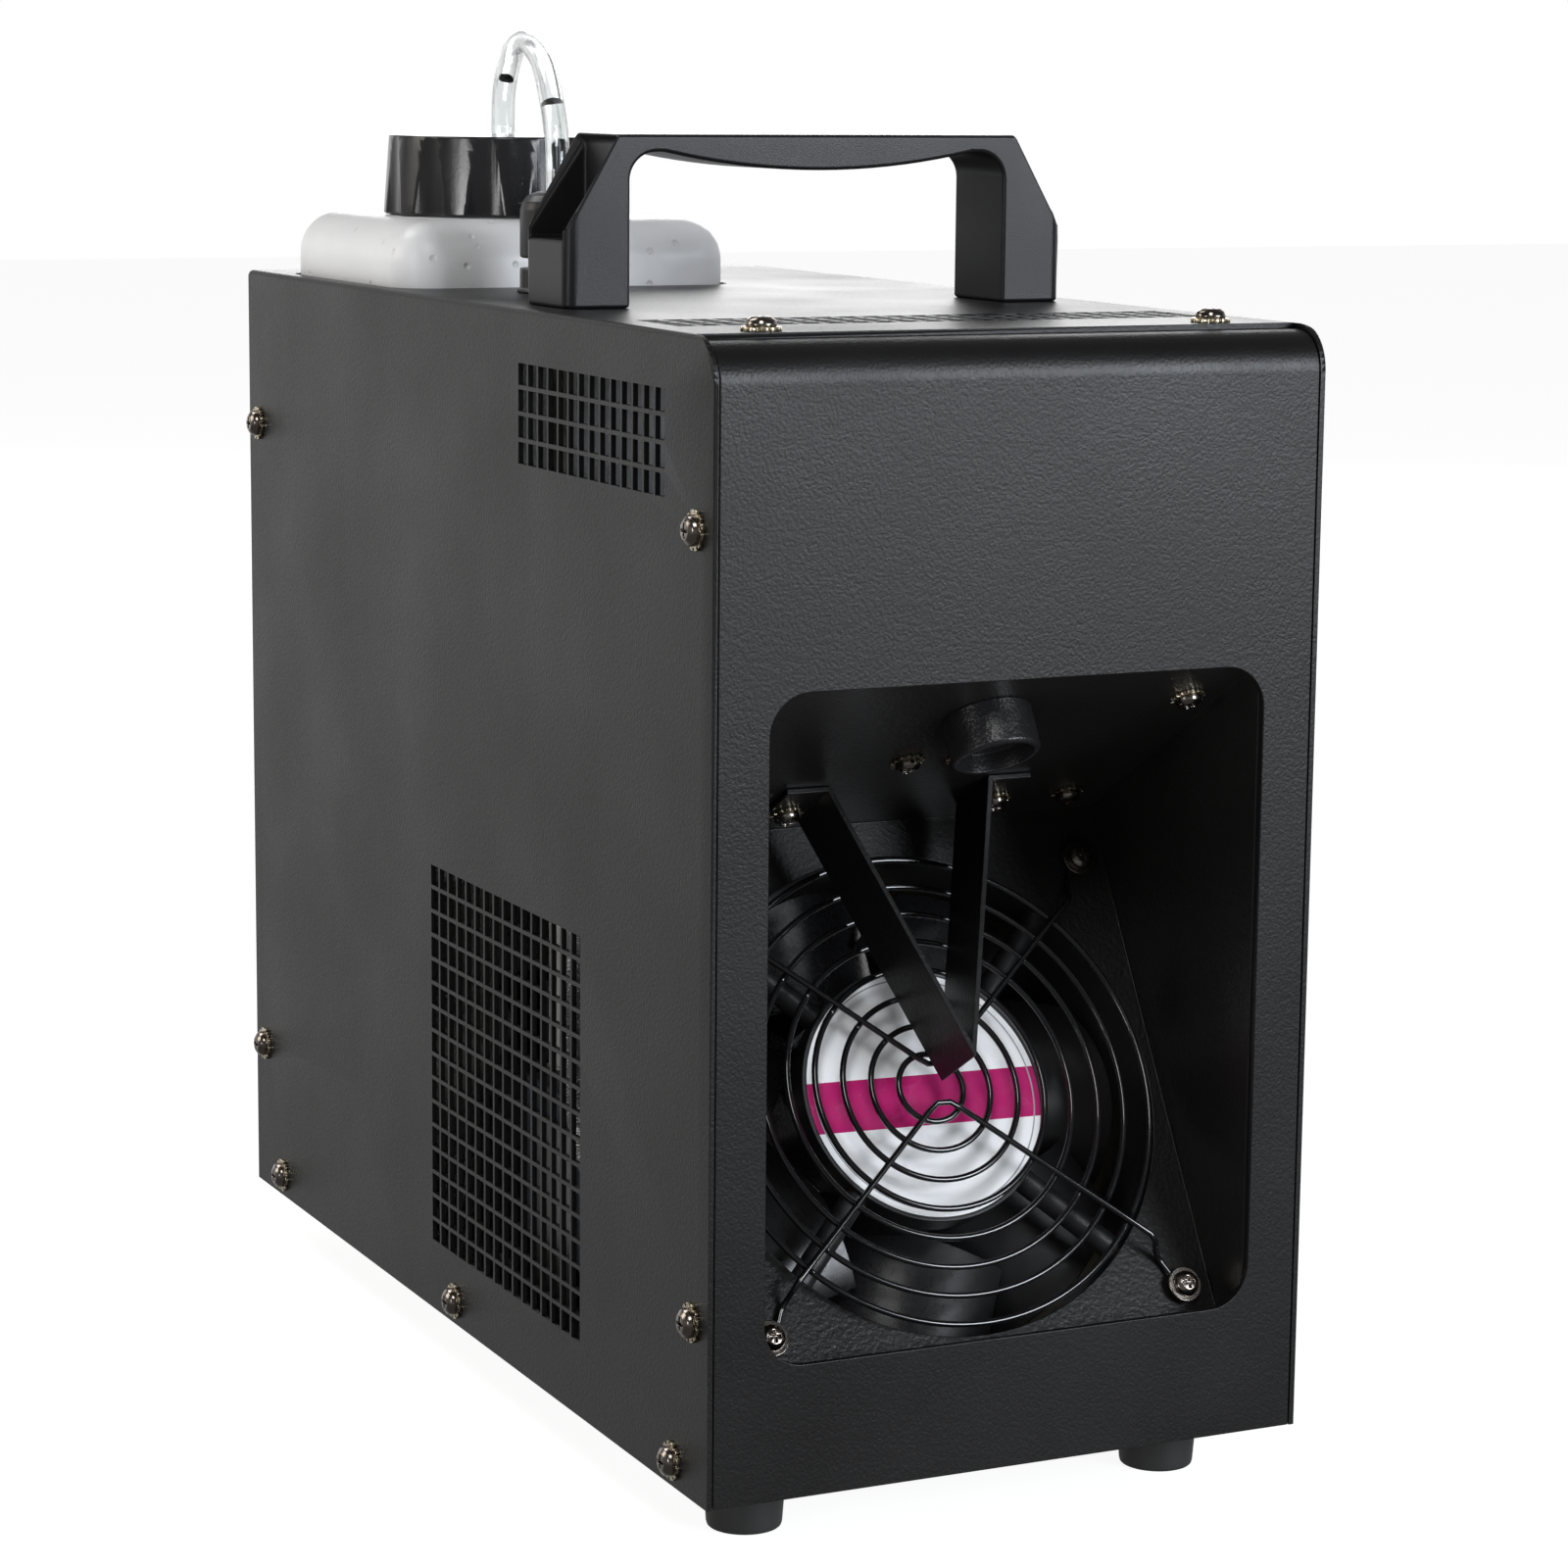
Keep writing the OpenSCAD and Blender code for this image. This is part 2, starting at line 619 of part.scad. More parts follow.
// ---------------------------------------------------------------- handle

module handle_outline() difference() {
    polygon([
        [-handle_half, 0], [-handle_half, shoulder_z], [-arm_x, handle_h],
        [arm_x, handle_h], [handle_half, shoulder_z], [handle_half, 0]
    ]);
    difference() {
        union() {
            translate([-48.3, -1]) square([96.6, 30]);
            translate([0, 22]) round_rect(96.6, 27, 6.5);
        }
        translate([0, handle_h - 8.2 + 190]) circle(190, $fn = 180);
    }
}

module handle() color([0.13, 0.13, 0.14]) at_case() translate([0, handle_y, case_h]) difference() {
    intersection() {
        back(handle_depth) handle_outline();
        translate([0, handle_depth / 2, 0]) linear_extrude(60)
            round_rect(2 * handle_half, handle_depth, 2.8);
    }
    // open channels in the outer ends
    for (s = [0, 1]) mirror([s, 0, 0]) translate([52.6, 2.4, channel_z])
        cube([20, handle_depth - 4.8, 40]);
    for (p = handle_screws) translate([p[0], p[1] - handle_y, -1])
        cylinder(r = screw_r + 0.05, h = 10);
}

// ---------------------------------------------------------------- tank

module tank() color([0.92, 0.92, 0.93]) at_case() difference() {
    union() {
        translate([tank_x, tank_y, tank_z]) soft_box(tank_w, tank_d, tank_h, 9);
        translate([cap_x, cap_y, tank_top - 4]) cylinder(r = neck_r, h = neck_h + 4);
    }
    translate([tank_x, tank_y, tank_z + 2]) soft_box(tank_w - 4, tank_d - 4, tank_h - 4, 7);
    translate([cap_x, cap_y, tank_top - 5]) cylinder(r = neck_r - 2, h = neck_h + 10);
}

module tank_cap() color([0.12, 0.12, 0.12])
at_case() translate([cap_x, cap_y, tank_top + 0.3]) difference() {
    cylinder(r1 = cap_r, r2 = cap_r - 1.5, h = cap_h);
    for (a = [0 : 30 : 330]) rotate(a) translate([cap_r + 10.9, 0, -1])
        cylinder(r = 12.5, h = cap_h + 2);
    translate([0, 0, -1]) cylinder(r = neck_r + 0.6, h = cap_h - 2);
    translate([0, 0, -1]) cylinder(r = hose_r + 1.4, h = cap_h + 2);
    translate([-14, 0, -1]) cylinder(r = 0.9, h = cap_h + 2);
}

module cap_seal() color([0.8, 0.8, 0.78]) at_case() translate([cap_x, cap_y, tank_top + neck_h + 0.1])
    difference() {
        cylinder(r = neck_r - 0.3, h = 1.2);
        translate([0, 0, -1]) cylinder(r = hose_r + 0.5, h = 4);
    }

module feed_hose() color([0.93, 0.94, 0.94]) at_case() tube(smooth(feed_route, 3), hose_r, n = 10);

module pickup_filter() color([0.7, 0.58, 0.36]) at_case() translate([cap_x, cap_y, 86]) {
    cylinder(r = 7, h = 12);
    translate([0, 0, 12]) cylinder(r1 = 7, r2 = 4, h = 4);
    translate([0, 0, 16]) cylinder(r = 4, h = 4);
}

module fitting_nut() color([0.13, 0.13, 0.14]) at_case() translate([fit_x, fit_y, case_h]) difference() {
    union() {
        cylinder(r = 9.9, h = 1);
        translate([0, 0, 1]) cylinder(r = 9.3, h = 5, $fn = 12);
    }
    translate([0, 0, -1]) cylinder(r = 6.6, h = 10);
}

module fitting_stem() color([0.86, 0.86, 0.84]) at_case() translate([fit_x, fit_y, 238]) difference() {
    union() {
        cylinder(r = 6.5, h = 33.5);
        translate([0, 0, 9.2]) cylinder(r = 9, h = 3);
    }
    translate([0, 0, 23.5]) cylinder(r = hose_r + 0.3, h = 20);
    translate([0, 0, -1]) cylinder(r = 2, h = 40);
}

module fitting_collar() color([0.15, 0.15, 0.16]) at_case() translate([fit_x, fit_y, case_h + 8.5])
    difference() {
        rotate_extrude() polygon([
            [0, 0], [8.8, 0], [9.2, 0.4], [9.2, 11.5], [8.6, 13.6], [7.2, 15.2],
            [5.2, 16], [0, 16]
        ]);
        translate([0, 0, -1]) cylinder(r = 6.8, h = 15.2);
        cylinder(r = hose_r + 0.9, h = 20);
    }

module tank_tray() color([0.3, 0.3, 0.31]) at_case() difference() {
    union() {
        difference() {
            translate([-70.8, 196.5, tank_z - 1.4]) cube([95.6, 92.3, 24]);
            translate([-69.6, 197.7, tank_z - 0.2]) cube([93.2, 89.9, 30]);
        }
        translate([-66, 196.5, 1.6]) cube([22, 1.2, tank_z - 2.9]);
        translate([0, 196.5, 1.6]) cube([22, 1.2, tank_z - 2.9]);
        translate([-66, 184.5, 1.6]) cube([22, 13.2, 1.2]);
        translate([0, 190.5, 1.6]) cube([22, 7.2, 1.2]);
        translate([-60, 287, tank_z - 1.4]) cube([76, 14.4, 1.2]);
        translate([-60, 300.2, tank_z - 13]) cube([76, 1.2, 12]);
    }
}

// ---------------------------------------------------------------- electronics

module power_board() color([0.14, 0.34, 0.2]) at_case() difference() {
    translate([-8, 100, 10]) cube([72, 84, 1.6]);
    for (x = [-4, 60], y = [104, 180]) translate([x, y, 9]) cylinder(r = 1.7, h = 4);
}

module board_standoffs() color([0.75, 0.7, 0.5]) at_case() for (x = [-4, 60], y = [104, 180])
    translate([x, y, 0]) {
        translate([0, 0, 1.6]) cylinder(r = 3, h = 8.3, $fn = 6);
        translate([0, 0, 9.8]) cylinder(r = 1.6, h = 4);
    }

module transformer() color([0.5, 0.45, 0.25]) at_case() {
    translate([16, 112, 11.7]) cube([40, 12, 34]);
    translate([16, 136, 11.7]) cube([40, 12, 34]);
    translate([20, 124.1, 14]) cube([32, 11.8, 30]);
}

module board_components() color([0.2, 0.2, 0.5]) at_case() {
    for (y = [112, 128]) translate([3, y, 11.7]) cylinder(r = 6, h = 24);
    translate([0, 140, 11.7]) cube([12, 20, 16]);
    translate([20, 156, 11.7]) cube([16, 12, 15]);
    translate([38, 170, 11.7]) cube([16, 9, 11]);
    translate([0, 168, 11.7]) cube([30, 8, 3]);
}

module control_board() color([0.14, 0.34, 0.2]) at_case() {
    translate([window_at[0] - 36, 290.4, 112]) cube([72, 1.6, 56]);
    for (i = [0 : 3]) translate([window_at[0] + (i - 1.5) * button_pitch - 3, 292.1, button_z - 3])
        cube([6, 2.4, 6]);
    translate([window_at[0] - 22, 292.1, window_at[1] - 8]) cube([44, 5, 16]);
}

module display_window() color([0.1, 0.05, 0.06]) at_case() {
    translate([window_at[0], rear_y - 3, window_at[1]]) back(3) square([50, 20], center = true);
    translate([window_at[0], rear_y, window_at[1]]) back(1) round_rect(54, 24, 2);
}

// Push button, numbered from the left as seen from the front
module push_button(i) color([0.2, 0.2, 0.21]) at_case()
    translate([window_at[0] + (i - 1.5) * button_pitch, 0, button_z]) {
        translate([0, 296, 0]) rod_y(4.2, rear_y + 2.4 - 296);
        translate([0, 298.6, 0]) rod_y(5.4, 2.6);
        translate([0, rear_y + 2.3, 0]) rotate([-90, 0, 0]) cylinder(r1 = 4.2, r2 = 3.4, h = 0.9);
    }

module power_inlet() color([0.11, 0.11, 0.12])
at_case() translate([inlet_at[0], 0, inlet_at[1]]) difference() {
    union() {
        translate([0, rear_y, 0]) back(3) round_rect(31, 50, 3);
        translate([0, 279, 0]) back(25) square([26.6, 45], center = true);
    }
    translate([0, 289, 10]) back(30) round_rect(24.4, 17, 3);
    translate([0, 284, -13]) back(30) square([17.6, 7.6], center = true);
    translate([0, rear_y + 1.4, -13]) back(10) square([21.4, 11.4], center = true);
}

module inlet_pins() color([0.75, 0.72, 0.6]) at_case() translate([inlet_at[0], 280, inlet_at[1] + 10])
    for (p = [[-7, -1.5], [7, -1.5], [0, 2.5]])
        translate([p[0], 9.1, p[1]]) back(12) square([2, 4], center = true);

module fuse_drawer() color([0.13, 0.13, 0.14]) at_case() translate([inlet_at[0], 0, inlet_at[1] - 13]) {
    translate([0, rear_y + 1.5, 0]) back(1.4) round_rect(20.8, 10.8, 1);
    translate([0, 285, 0]) back(rear_y - 285 + 1.6) square([17, 7], center = true);
}

module switch_frame() color([0.1, 0.1, 0.11])
at_case() translate([switch_at[0], 0, switch_at[1]]) difference() {
    union() {
        translate([0, rear_y, 0]) back(2) round_rect(20, 27, 2);
        translate([0, 283, 0]) back(21) square([16, 23], center = true);
    }
    translate([0, 290, 0]) back(30) square([12.8, 20.4], center = true);
    translate([-7.5, rocker_y, 0]) rotate([0, 90, 0]) cylinder(r = 1.3, h = 15);
}

module switch_rocker() color([0.08, 0.08, 0.09]) at_case()
    translate([switch_at[0], rocker_y, switch_at[1]]) rotate([rocker_tilt, 0, 0]) {
        across(12) polygon([[-6, -7], [3, -9.3], [2, 0], [3, 9.3], [-6, 7]]);
        translate([-7.4, 0, 0]) rotate([0, 90, 0]) cylinder(r = 1.25, h = 14.8);
    }

module dmx_shell() {
    translate([0, rear_y, 0]) back(1.8) round_rect(26, 31, 3);
    translate([0, 281, 0]) rod_y(11.4, 22.1);
    translate([0, rear_y + 1.7, 0]) rod_y(11, rear_out - 1.7);
}

module dmx_holes() for (s = [-1, 1])
    translate([s * 9.5, rear_y - 1, -s * 12]) rod_y(1.5, 4);

module dmx_in() color([0.12, 0.12, 0.12])
at_case() translate([dmx_in_at[0], 0, dmx_in_at[1]]) difference() {
    dmx_shell();
    dmx_holes();
    translate([0, 290, 0]) rod_y(9.3, 30);
}

module dmx_pins() color([0.7, 0.68, 0.6]) at_case() translate([dmx_in_at[0], 290.1, dmx_in_at[1]])
    for (a = [0, 90, 180]) rotate([0, a, 0]) translate([5, 0, 0]) rod_y(1.2, 11);

module dmx_out() color([0.12, 0.12, 0.12])
at_case() translate([dmx_out_at[0], 0, dmx_out_at[1]]) difference() {
    dmx_shell();
    dmx_holes();
    difference() {
        translate([0, 296, 0]) rod_y(9.6, 30);
        translate([0, 295, 0]) rod_y(8.3, rear_y + 2.5 - 295);
    }
    for (a = [0, 90, 180]) rotate([0, a, 0]) translate([5, 288, 0]) rod_y(1.3, 30);
    translate([0, rear_y - 8, latch_up]) back(12) square([6.6, 3.6], center = true);
}

module dmx_latch() color([0.6, 0.6, 0.6]) at_case()
    translate([dmx_out_at[0], rear_y - 5, dmx_out_at[1] + latch_up]) back(8.5)
        square([6, 3], center = true);

module mains_wires() color([0.5, 0.2, 0.15]) at_case() {
    tube(smooth(live_route, 3), 1.3);
    tube(smooth(neutral_route, 3), 1.3);
}

// ---------------------------------------------------------------- nodes

chassis();
cover();
foot(0);  // foot_front_left
foot(1);  // foot_front_right
foot(2);  // foot_rear_left
foot(3);  // foot_rear_right
pan_screws();
toothed_washers();
recess_shroud();
nozzle();
nozzle_tip();
nozzle_stem();
nozzle_guard();
finger_guard();
guard_washers();
fan_frame();
fan_label();
fan_bearing();
fan_stator();
fan_rotor();
heater_block();
heater_jacket();
heater_inlet();
thermostat();
pump_coil();
pump_tube();
pump_plunger();
pump_bracket();
supply_hose();
braided_hose();
handle();
tank();
tank_cap();
cap_seal();
feed_hose();
pickup_filter();
fitting_nut();
fitting_stem();
fitting_collar();
tank_tray();
power_board();
board_standoffs();
transformer();
board_components();
control_board();
display_window();
push_button(0);  // button_menu
push_button(1);  // button_down
push_button(2);  // button_up
push_button(3);  // button_enter
power_inlet();
inlet_pins();
fuse_drawer();
switch_frame();
switch_rocker();
dmx_in();
dmx_pins();
dmx_out();
dmx_latch();
mains_wires();
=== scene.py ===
import math

import bmesh
import bpy
from mathutils import Matrix, Vector


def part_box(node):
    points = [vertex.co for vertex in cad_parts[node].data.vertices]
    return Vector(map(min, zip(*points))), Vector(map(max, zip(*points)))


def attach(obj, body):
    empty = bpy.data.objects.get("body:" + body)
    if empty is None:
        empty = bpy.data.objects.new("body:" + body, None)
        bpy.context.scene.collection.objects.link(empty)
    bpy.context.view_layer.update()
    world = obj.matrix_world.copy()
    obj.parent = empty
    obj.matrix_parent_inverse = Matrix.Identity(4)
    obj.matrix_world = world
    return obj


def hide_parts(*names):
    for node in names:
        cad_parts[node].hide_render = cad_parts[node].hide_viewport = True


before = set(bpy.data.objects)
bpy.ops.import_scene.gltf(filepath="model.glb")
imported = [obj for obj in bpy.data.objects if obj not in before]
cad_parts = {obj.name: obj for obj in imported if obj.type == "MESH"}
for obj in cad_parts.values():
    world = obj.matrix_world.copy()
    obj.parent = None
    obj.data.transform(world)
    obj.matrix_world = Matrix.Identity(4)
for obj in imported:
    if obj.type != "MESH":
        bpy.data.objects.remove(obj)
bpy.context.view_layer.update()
MM = 0.001

# ---------------------------------------------------------------- camera
# A long lens in front of the machine's left corner and a little above its middle, so that the
# front, the left side and a sliver of the top show, and the uprights stay almost upright.
CAMERA_AT = Vector((-0.4321, -0.94045, 0.3189))
YAW = math.radians(25.479)
PITCH = math.radians(-9.594)
ROLL = math.radians(0.545)
FOCAL_LENGTH = 96.46
SENSOR_WIDTH = 36
NEAREST = 0.05

ahead = Vector((math.sin(YAW) * math.cos(PITCH), math.cos(YAW) * math.cos(PITCH),
                math.sin(PITCH)))
level = ahead.cross(Vector((0, 0, 1))).normalized()
raised = level.cross(ahead)
right = level * math.cos(ROLL) + raised * math.sin(ROLL)
upward = raised * math.cos(ROLL) - level * math.sin(ROLL)
lens = bpy.data.cameras.new("camera")
lens.lens = FOCAL_LENGTH
lens.sensor_width = SENSOR_WIDTH
lens.clip_start = NEAREST
camera = bpy.data.objects.new("camera", lens)
facing = Matrix((right, upward, -ahead)).transposed().to_4x4()
camera.matrix_world = Matrix.Translation(CAMERA_AT) @ facing
bpy.context.scene.collection.objects.link(camera)
bpy.context.scene.camera = camera

# ---------------------------------------------------------------- feed hose
# Clear tube, 6 mm outside and 4 mm inside, cut to length and pushed into the fitting on the lid.
# It arches over to the cap and runs down to the filter at the tank's bottom. Its route is in
# millimetres from the case's front left lower corner.
CASE_ORIGIN = Vector((0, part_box("chassis")[0].y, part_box("foot_front_left")[1].z))
HOSE_R = 3 * MM
HOSE_BORE = 2 * MM
HOSE_LENGTH = 0.302
LINE_STEPS = 6
ROD_STEPS = 6
HOSE_ROUTE = [
    (-38, 172, 262), (-38, 172, 270), (-38, 172, 280), (-37.5, 174, 289.5), (-36.5, 180, 299),
    (-34.5, 189.5, 306.5), (-32.5, 201, 311), (-30, 213, 312.5), (-28, 224.5, 311),
    (-26, 234, 306.5), (-25, 240, 299.5), (-24.5, 242, 292), (-24.5, 242, 284), (-24.5, 242, 230),
    (-24.5, 242, 170), (-24.5, 242, 106),
]


class Socket:
    """One output of a shader node. Arithmetic on it adds Math nodes."""

    def __init__(self, finish, out):
        self.finish = finish
        self.out = out

    def math(self, operation, *values):
        return self.finish.add("Math", {"operation": operation}, dict(enumerate(values)))

    def __add__(self, other):
        return self.math("ADD", self, other)

    __radd__ = __add__

    def __sub__(self, other):
        return self.math("SUBTRACT", self, other)

    def __rsub__(self, other):
        return self.math("SUBTRACT", other, self)

    def __mul__(self, other):
        return self.math("MULTIPLY", self, other)

    __rmul__ = __mul__

    def __abs__(self):
        return self.math("ABSOLUTE", self)

    def __lt__(self, other):
        return self.math("LESS_THAN", self, other)

    def root(self):
        return self.math("SQRT", self)

    def fit(self, low, high, to_low=0.0, to_high=1.0):
        """This value, taken from one range to another and held inside it."""
        ends = {"From Min": low, "From Max": high, "To Min": to_low, "To Max": to_high}
        return self.finish.add("MapRange", {"clamp": True}, {"Value": self, **ends})


class Finish:
    """A material. Its principled shader's fixed values are given when it is made, and what varies
    over the surface is led to the shader by vary()."""

    def __init__(self, name, colour, roughness, **fixed):
        self.material = bpy.data.materials.new(name)
        self.material.use_nodes = True
        self.tree = self.material.node_tree
        self.shader = self.tree.nodes["Principled BSDF"]
        self.shader.inputs["Base Color"].default_value = (*colour, 1)
        self.shader.inputs["Roughness"].default_value = roughness
        for key, value in fixed.items():
            self.shader.inputs[key.replace("_", " ")].default_value = value

    def add(self, kind, settings, inputs, output=0):
        """Adds a node, sets it up and joins its inputs to values or to other nodes."""
        node = self.tree.nodes.new("ShaderNode" + kind)
        for key, value in settings.items():
            setattr(node, key, value)
        for key, value in inputs.items():
            if isinstance(value, Socket):
                self.tree.links.new(value.out, node.inputs[key])
            else:
                node.inputs[key].default_value = value
        return Socket(self, node.outputs[output])

    def place(self):
        return self.add("TexCoord", {}, {}, "Object")

    def noise(self, size, detail=2.0):
        """Cloudy noise whose spots are about size metres across."""
        inputs = {"Vector": self.place(), "Scale": 1 / size, "Detail": detail}
        return self.add("TexNoise", {}, inputs)

    def cells(self, size):
        """Distance to the nearest of points that lie about size metres apart."""
        return self.add("TexVoronoi", {}, {"Vector": self.place(), "Scale": 1 / size})

    def along(self, direction, origin=(0, 0, 0)):
        """Distance in metres from origin along a direction."""
        offset = self.add("VectorMath", {"operation": "SUBTRACT"}, {0: self.place(), 1: origin})
        return self.add("VectorMath", {"operation": "DOT_PRODUCT"}, {0: offset, 1: direction},
                        "Value")

    def between(self, mask, first, second):
        """The first colour where mask is 0 and the second where it is 1."""
        first, second = (c if isinstance(c, Socket) else (*c, 1) for c in (first, second))
        return self.add("Mix", {"data_type": "RGBA"}, {0: mask, 6: first, 7: second}, 2)

    def vary(self, **sockets):
        """Leads a value or a colour to each of the shader's sockets that is named."""
        for key, value in sockets.items():
            self.tree.links.new(value.out, self.shader.inputs[key.replace("_", " ")])
        return self

    def bump(self, height, depth):
        """Raises the surface by depth metres where height is 1."""
        return self.vary(Normal=self.add("Bump", {}, {"Height": height, "Distance": depth}))


def made(name, shape, body, finish, replaces=(), smooth=35):
    """Turns a bmesh or a mesh into a finished piece that rides on a body."""
    mesh = shape
    if isinstance(shape, bmesh.types.BMesh):
        mesh = bpy.data.meshes.new(name)
        shape.to_mesh(mesh)
        shape.free()
    piece = bpy.data.objects.new(name, mesh)
    bpy.context.scene.collection.objects.link(piece)
    mesh.materials.clear()
    mesh.materials.append(finish.material)
    mesh.shade_smooth()
    mesh.set_sharp_from_angle(angle=math.radians(smooth))
    even = piece.modifiers.new("even", "WEIGHTED_NORMAL")
    even.keep_sharp = True
    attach(piece, body)
    if replaces:
        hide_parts(*replaces)
    return piece


def smooth_line(points):
    """A smooth curve through points given from the case's corner in millimetres."""
    ends = [CASE_ORIGIN + Vector(p) * MM for p in points]
    ends = [ends[0], *ends, ends[-1]]
    line = []
    for a, b, c, d in zip(ends, ends[1:], ends[2:], ends[3:]):
        for k in range(LINE_STEPS):
            t = k / LINE_STEPS
            line.append(0.5 * (2 * b + (c - a) * t + (2 * a - 5 * b + 4 * c - d) * t**2
                               + (3 * b - a - 3 * c + d) * t**3))
    return line + [ends[-1]]


def rods(lines, radius, capped=True):
    """A bmesh of round rods, one along each list of points."""
    curve = bpy.data.curves.new("rod", "CURVE")
    curve.dimensions = "3D"
    curve.bevel_depth = radius
    curve.bevel_resolution = ROD_STEPS
    curve.use_fill_caps = capped
    for line in lines:
        spline = curve.splines.new("POLY")
        spline.points.add(len(line) - 1)
        for point, place in zip(spline.points, line):
            point.co = (*place, 1)
    holder = bpy.data.objects.new("rod", curve)
    bm = bmesh.new()
    bm.from_mesh(holder.to_mesh())
    holder.to_mesh_clear()
    bpy.data.objects.remove(holder)
    bmesh.ops.remove_doubles(bm, verts=bm.verts, dist=1e-7)
    bmesh.ops.recalc_face_normals(bm, faces=bm.faces)
    return bm


hose_line = smooth_line(HOSE_ROUTE)
hose = rods([hose_line], HOSE_R, capped=False)
bore = rods([hose_line], HOSE_BORE, capped=False)
bmesh.ops.reverse_faces(bore, faces=bore.faces)
bore_mesh = bpy.data.meshes.new("bore")
bore.to_mesh(bore_mesh)
bore.free()
hose.from_mesh(bore_mesh)
first_end = [e for e in hose.edges if e.is_boundary
             and (e.verts[0].co - hose_line[0]).length < 2 * HOSE_R]
bmesh.ops.bridge_loops(hose, edges=first_end)
bmesh.ops.bridge_loops(hose, edges=[e for e in hose.edges if e.is_boundary])
clear_hose = Finish("clear_hose", (0.93, 0.95, 0.95), 0.05, Transmission_Weight=1.0, IOR=1.42)
# The tube's colour darkens towards its rims, where it is seen edge-on: painted shade for the dark
# edges of a clear tube.
painted_rim_shade = clear_hose.add("LayerWeight", {}, {"Blend": 0.5}, "Facing").fit(0.35, 0.95)
clear_hose.vary(Base_Color=clear_hose.between(painted_rim_shade, (0.95, 0.965, 0.965), (0.42, 0.43, 0.43)))
clear_hose.bump(clear_hose.noise(4 * MM), 0.02 * MM)
feed_hose = made("feed_hose_tube", hose, "tank", clear_hose, ["feed_hose"],
                 smooth=60)

# Fog fluid in the hose. It stands in both branches and leaves the top of the loop dry. It is a
# little thicker than the bore, so that no film of air shows between the two.
DRY_FROM = 0.0368
DRY_TO = 0.1033
FLUID_STARTS = 0.002
FLUID_ENDS = HOSE_LENGTH - 0.003
FLUID_R = HOSE_BORE + 0.03 * MM


def stretch_of(line, start, end):
    """The part of a line from one distance along it to another."""
    part, gone = [], 0.0
    for a, b in zip(line, line[1:]):
        step = (b - a).length
        for wanted in (start, end):
            if gone <= wanted < gone + step:
                part.append(a.lerp(b, (wanted - gone) / step))
        if start < gone + step < end:
            part.append(b)
        gone += step
    return part


fluid = Finish("fog_fluid", (0.93, 0.95, 0.955), 0.0, Transmission_Weight=1.0, IOR=1.37)
fluid.bump(fluid.noise(6 * MM), 0.005 * MM)
columns = [stretch_of(hose_line, FLUID_STARTS, DRY_FROM),
           stretch_of(hose_line, DRY_TO, FLUID_ENDS)]
hose_fluid = made("hose_fluid", rods(columns, FLUID_R), "tank", fluid, smooth=60)

# ---------------------------------------------------------------- case
# Two bent steel sheets: a tray with floor, front and rear, and a cover of two sides and the lid
# that is screwed over it. Both have a black powder coat with a fine orange-peel texture.
BROAD = 60


def coarse(name, colour, roughness, grain, depth, spread=0.08, shade=0.25, **fixed):
    """A finish with a fine grain: bumps of that size and depth, and uneven gloss and shade in
    patches much broader than the grain."""
    finish = Finish(name, colour, roughness, **fixed)
    fine = finish.noise(grain, 3.0)
    broad = finish.noise(grain * BROAD, 3.0)
    gloss = (broad * 0.6 + fine * 0.4).fit(0.3, 0.7, roughness - spread, roughness + spread)
    darker = [c * (1 - shade) for c in colour]
    lighter = [min(1.0, c * (1 + shade)) for c in colour]
    finish.vary(Roughness=gloss, Base_Color=finish.between(broad.fit(0.3, 0.7), darker, lighter))
    return finish.bump(fine, depth)


def eased(bm, edge, angle=30, segments=2):
    """Rounds a shape's sharp edges by edge metres."""
    bmesh.ops.dissolve_limit(bm, angle_limit=math.radians(0.5), verts=bm.verts, edges=bm.edges,
                             delimit=set())
    sharp = [e for e in bm.edges if e.is_manifold and e.calc_face_angle(0) > math.radians(angle)]
    bmesh.ops.bevel(bm, geom=sharp, offset=edge, offset_type="OFFSET", affect="EDGES",
                    segments=segments, profile=0.5, clamp_overlap=False, material=-1)
    return bm


def formed(node, edge=0.0, angle=30, segments=2):
    """A merged copy of a node, with its sharp edges rounded by edge metres."""
    bm = bmesh.new()
    bm.from_mesh(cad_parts[node].data)
    bmesh.ops.remove_doubles(bm, verts=bm.verts, dist=2e-6)
    return eased(bm, edge, angle, segments) if edge else bm


case_coat = coarse("case_coat", (0.0065, 0.0062, 0.0062), 0.4, 0.7 * MM, 0.09 * MM, spread=0.06,
                   shade=0.12, Specular_IOR_Level=0.38)
made("tray", formed("chassis", 0.25 * MM), "machine", case_coat, ["chassis"])
made("lid_and_sides", formed("cover"), "machine", case_coat, ["cover"])

# Feet: turned rubber pads with a small taper, each held by a screw from below.
rubber = coarse("foot_rubber", (0.018, 0.018, 0.018), 0.62, 0.7 * MM, 0.05 * MM)
for corner in ("front_left", "front_right", "rear_left", "rear_right"):
    made(f"rubber_foot_{corner}", formed(f"foot_{corner}", 0.5 * MM), "machine",
         rubber, [f"foot_{corner}"])

# Screws: pan heads with a cross, black nickel over steel, worn a little brown. The washers under
# them are spring washers with a toothed rim, yellow zinc, and plain thick ones on the fan guard.
screw_nickel = coarse("screw_nickel", (0.3, 0.265, 0.235), 0.2, 1.2 * MM, 0.02 * MM, Metallic=1.0)
zinc_yellow = coarse("zinc_yellow", (0.6, 0.53, 0.4), 0.26, 0.8 * MM, 0.03 * MM, Metallic=1.0)
made("cross_screws", formed("pan_screws", 0.12 * MM, 25), "machine", screw_nickel,
     ["pan_screws"])
made("spring_washers", formed("toothed_washers", 0.1 * MM), "machine", zinc_yellow,
     ["toothed_washers"])
made("thick_washers", formed("guard_washers", 0.2 * MM), "machine", screw_nickel,
     ["guard_washers"])

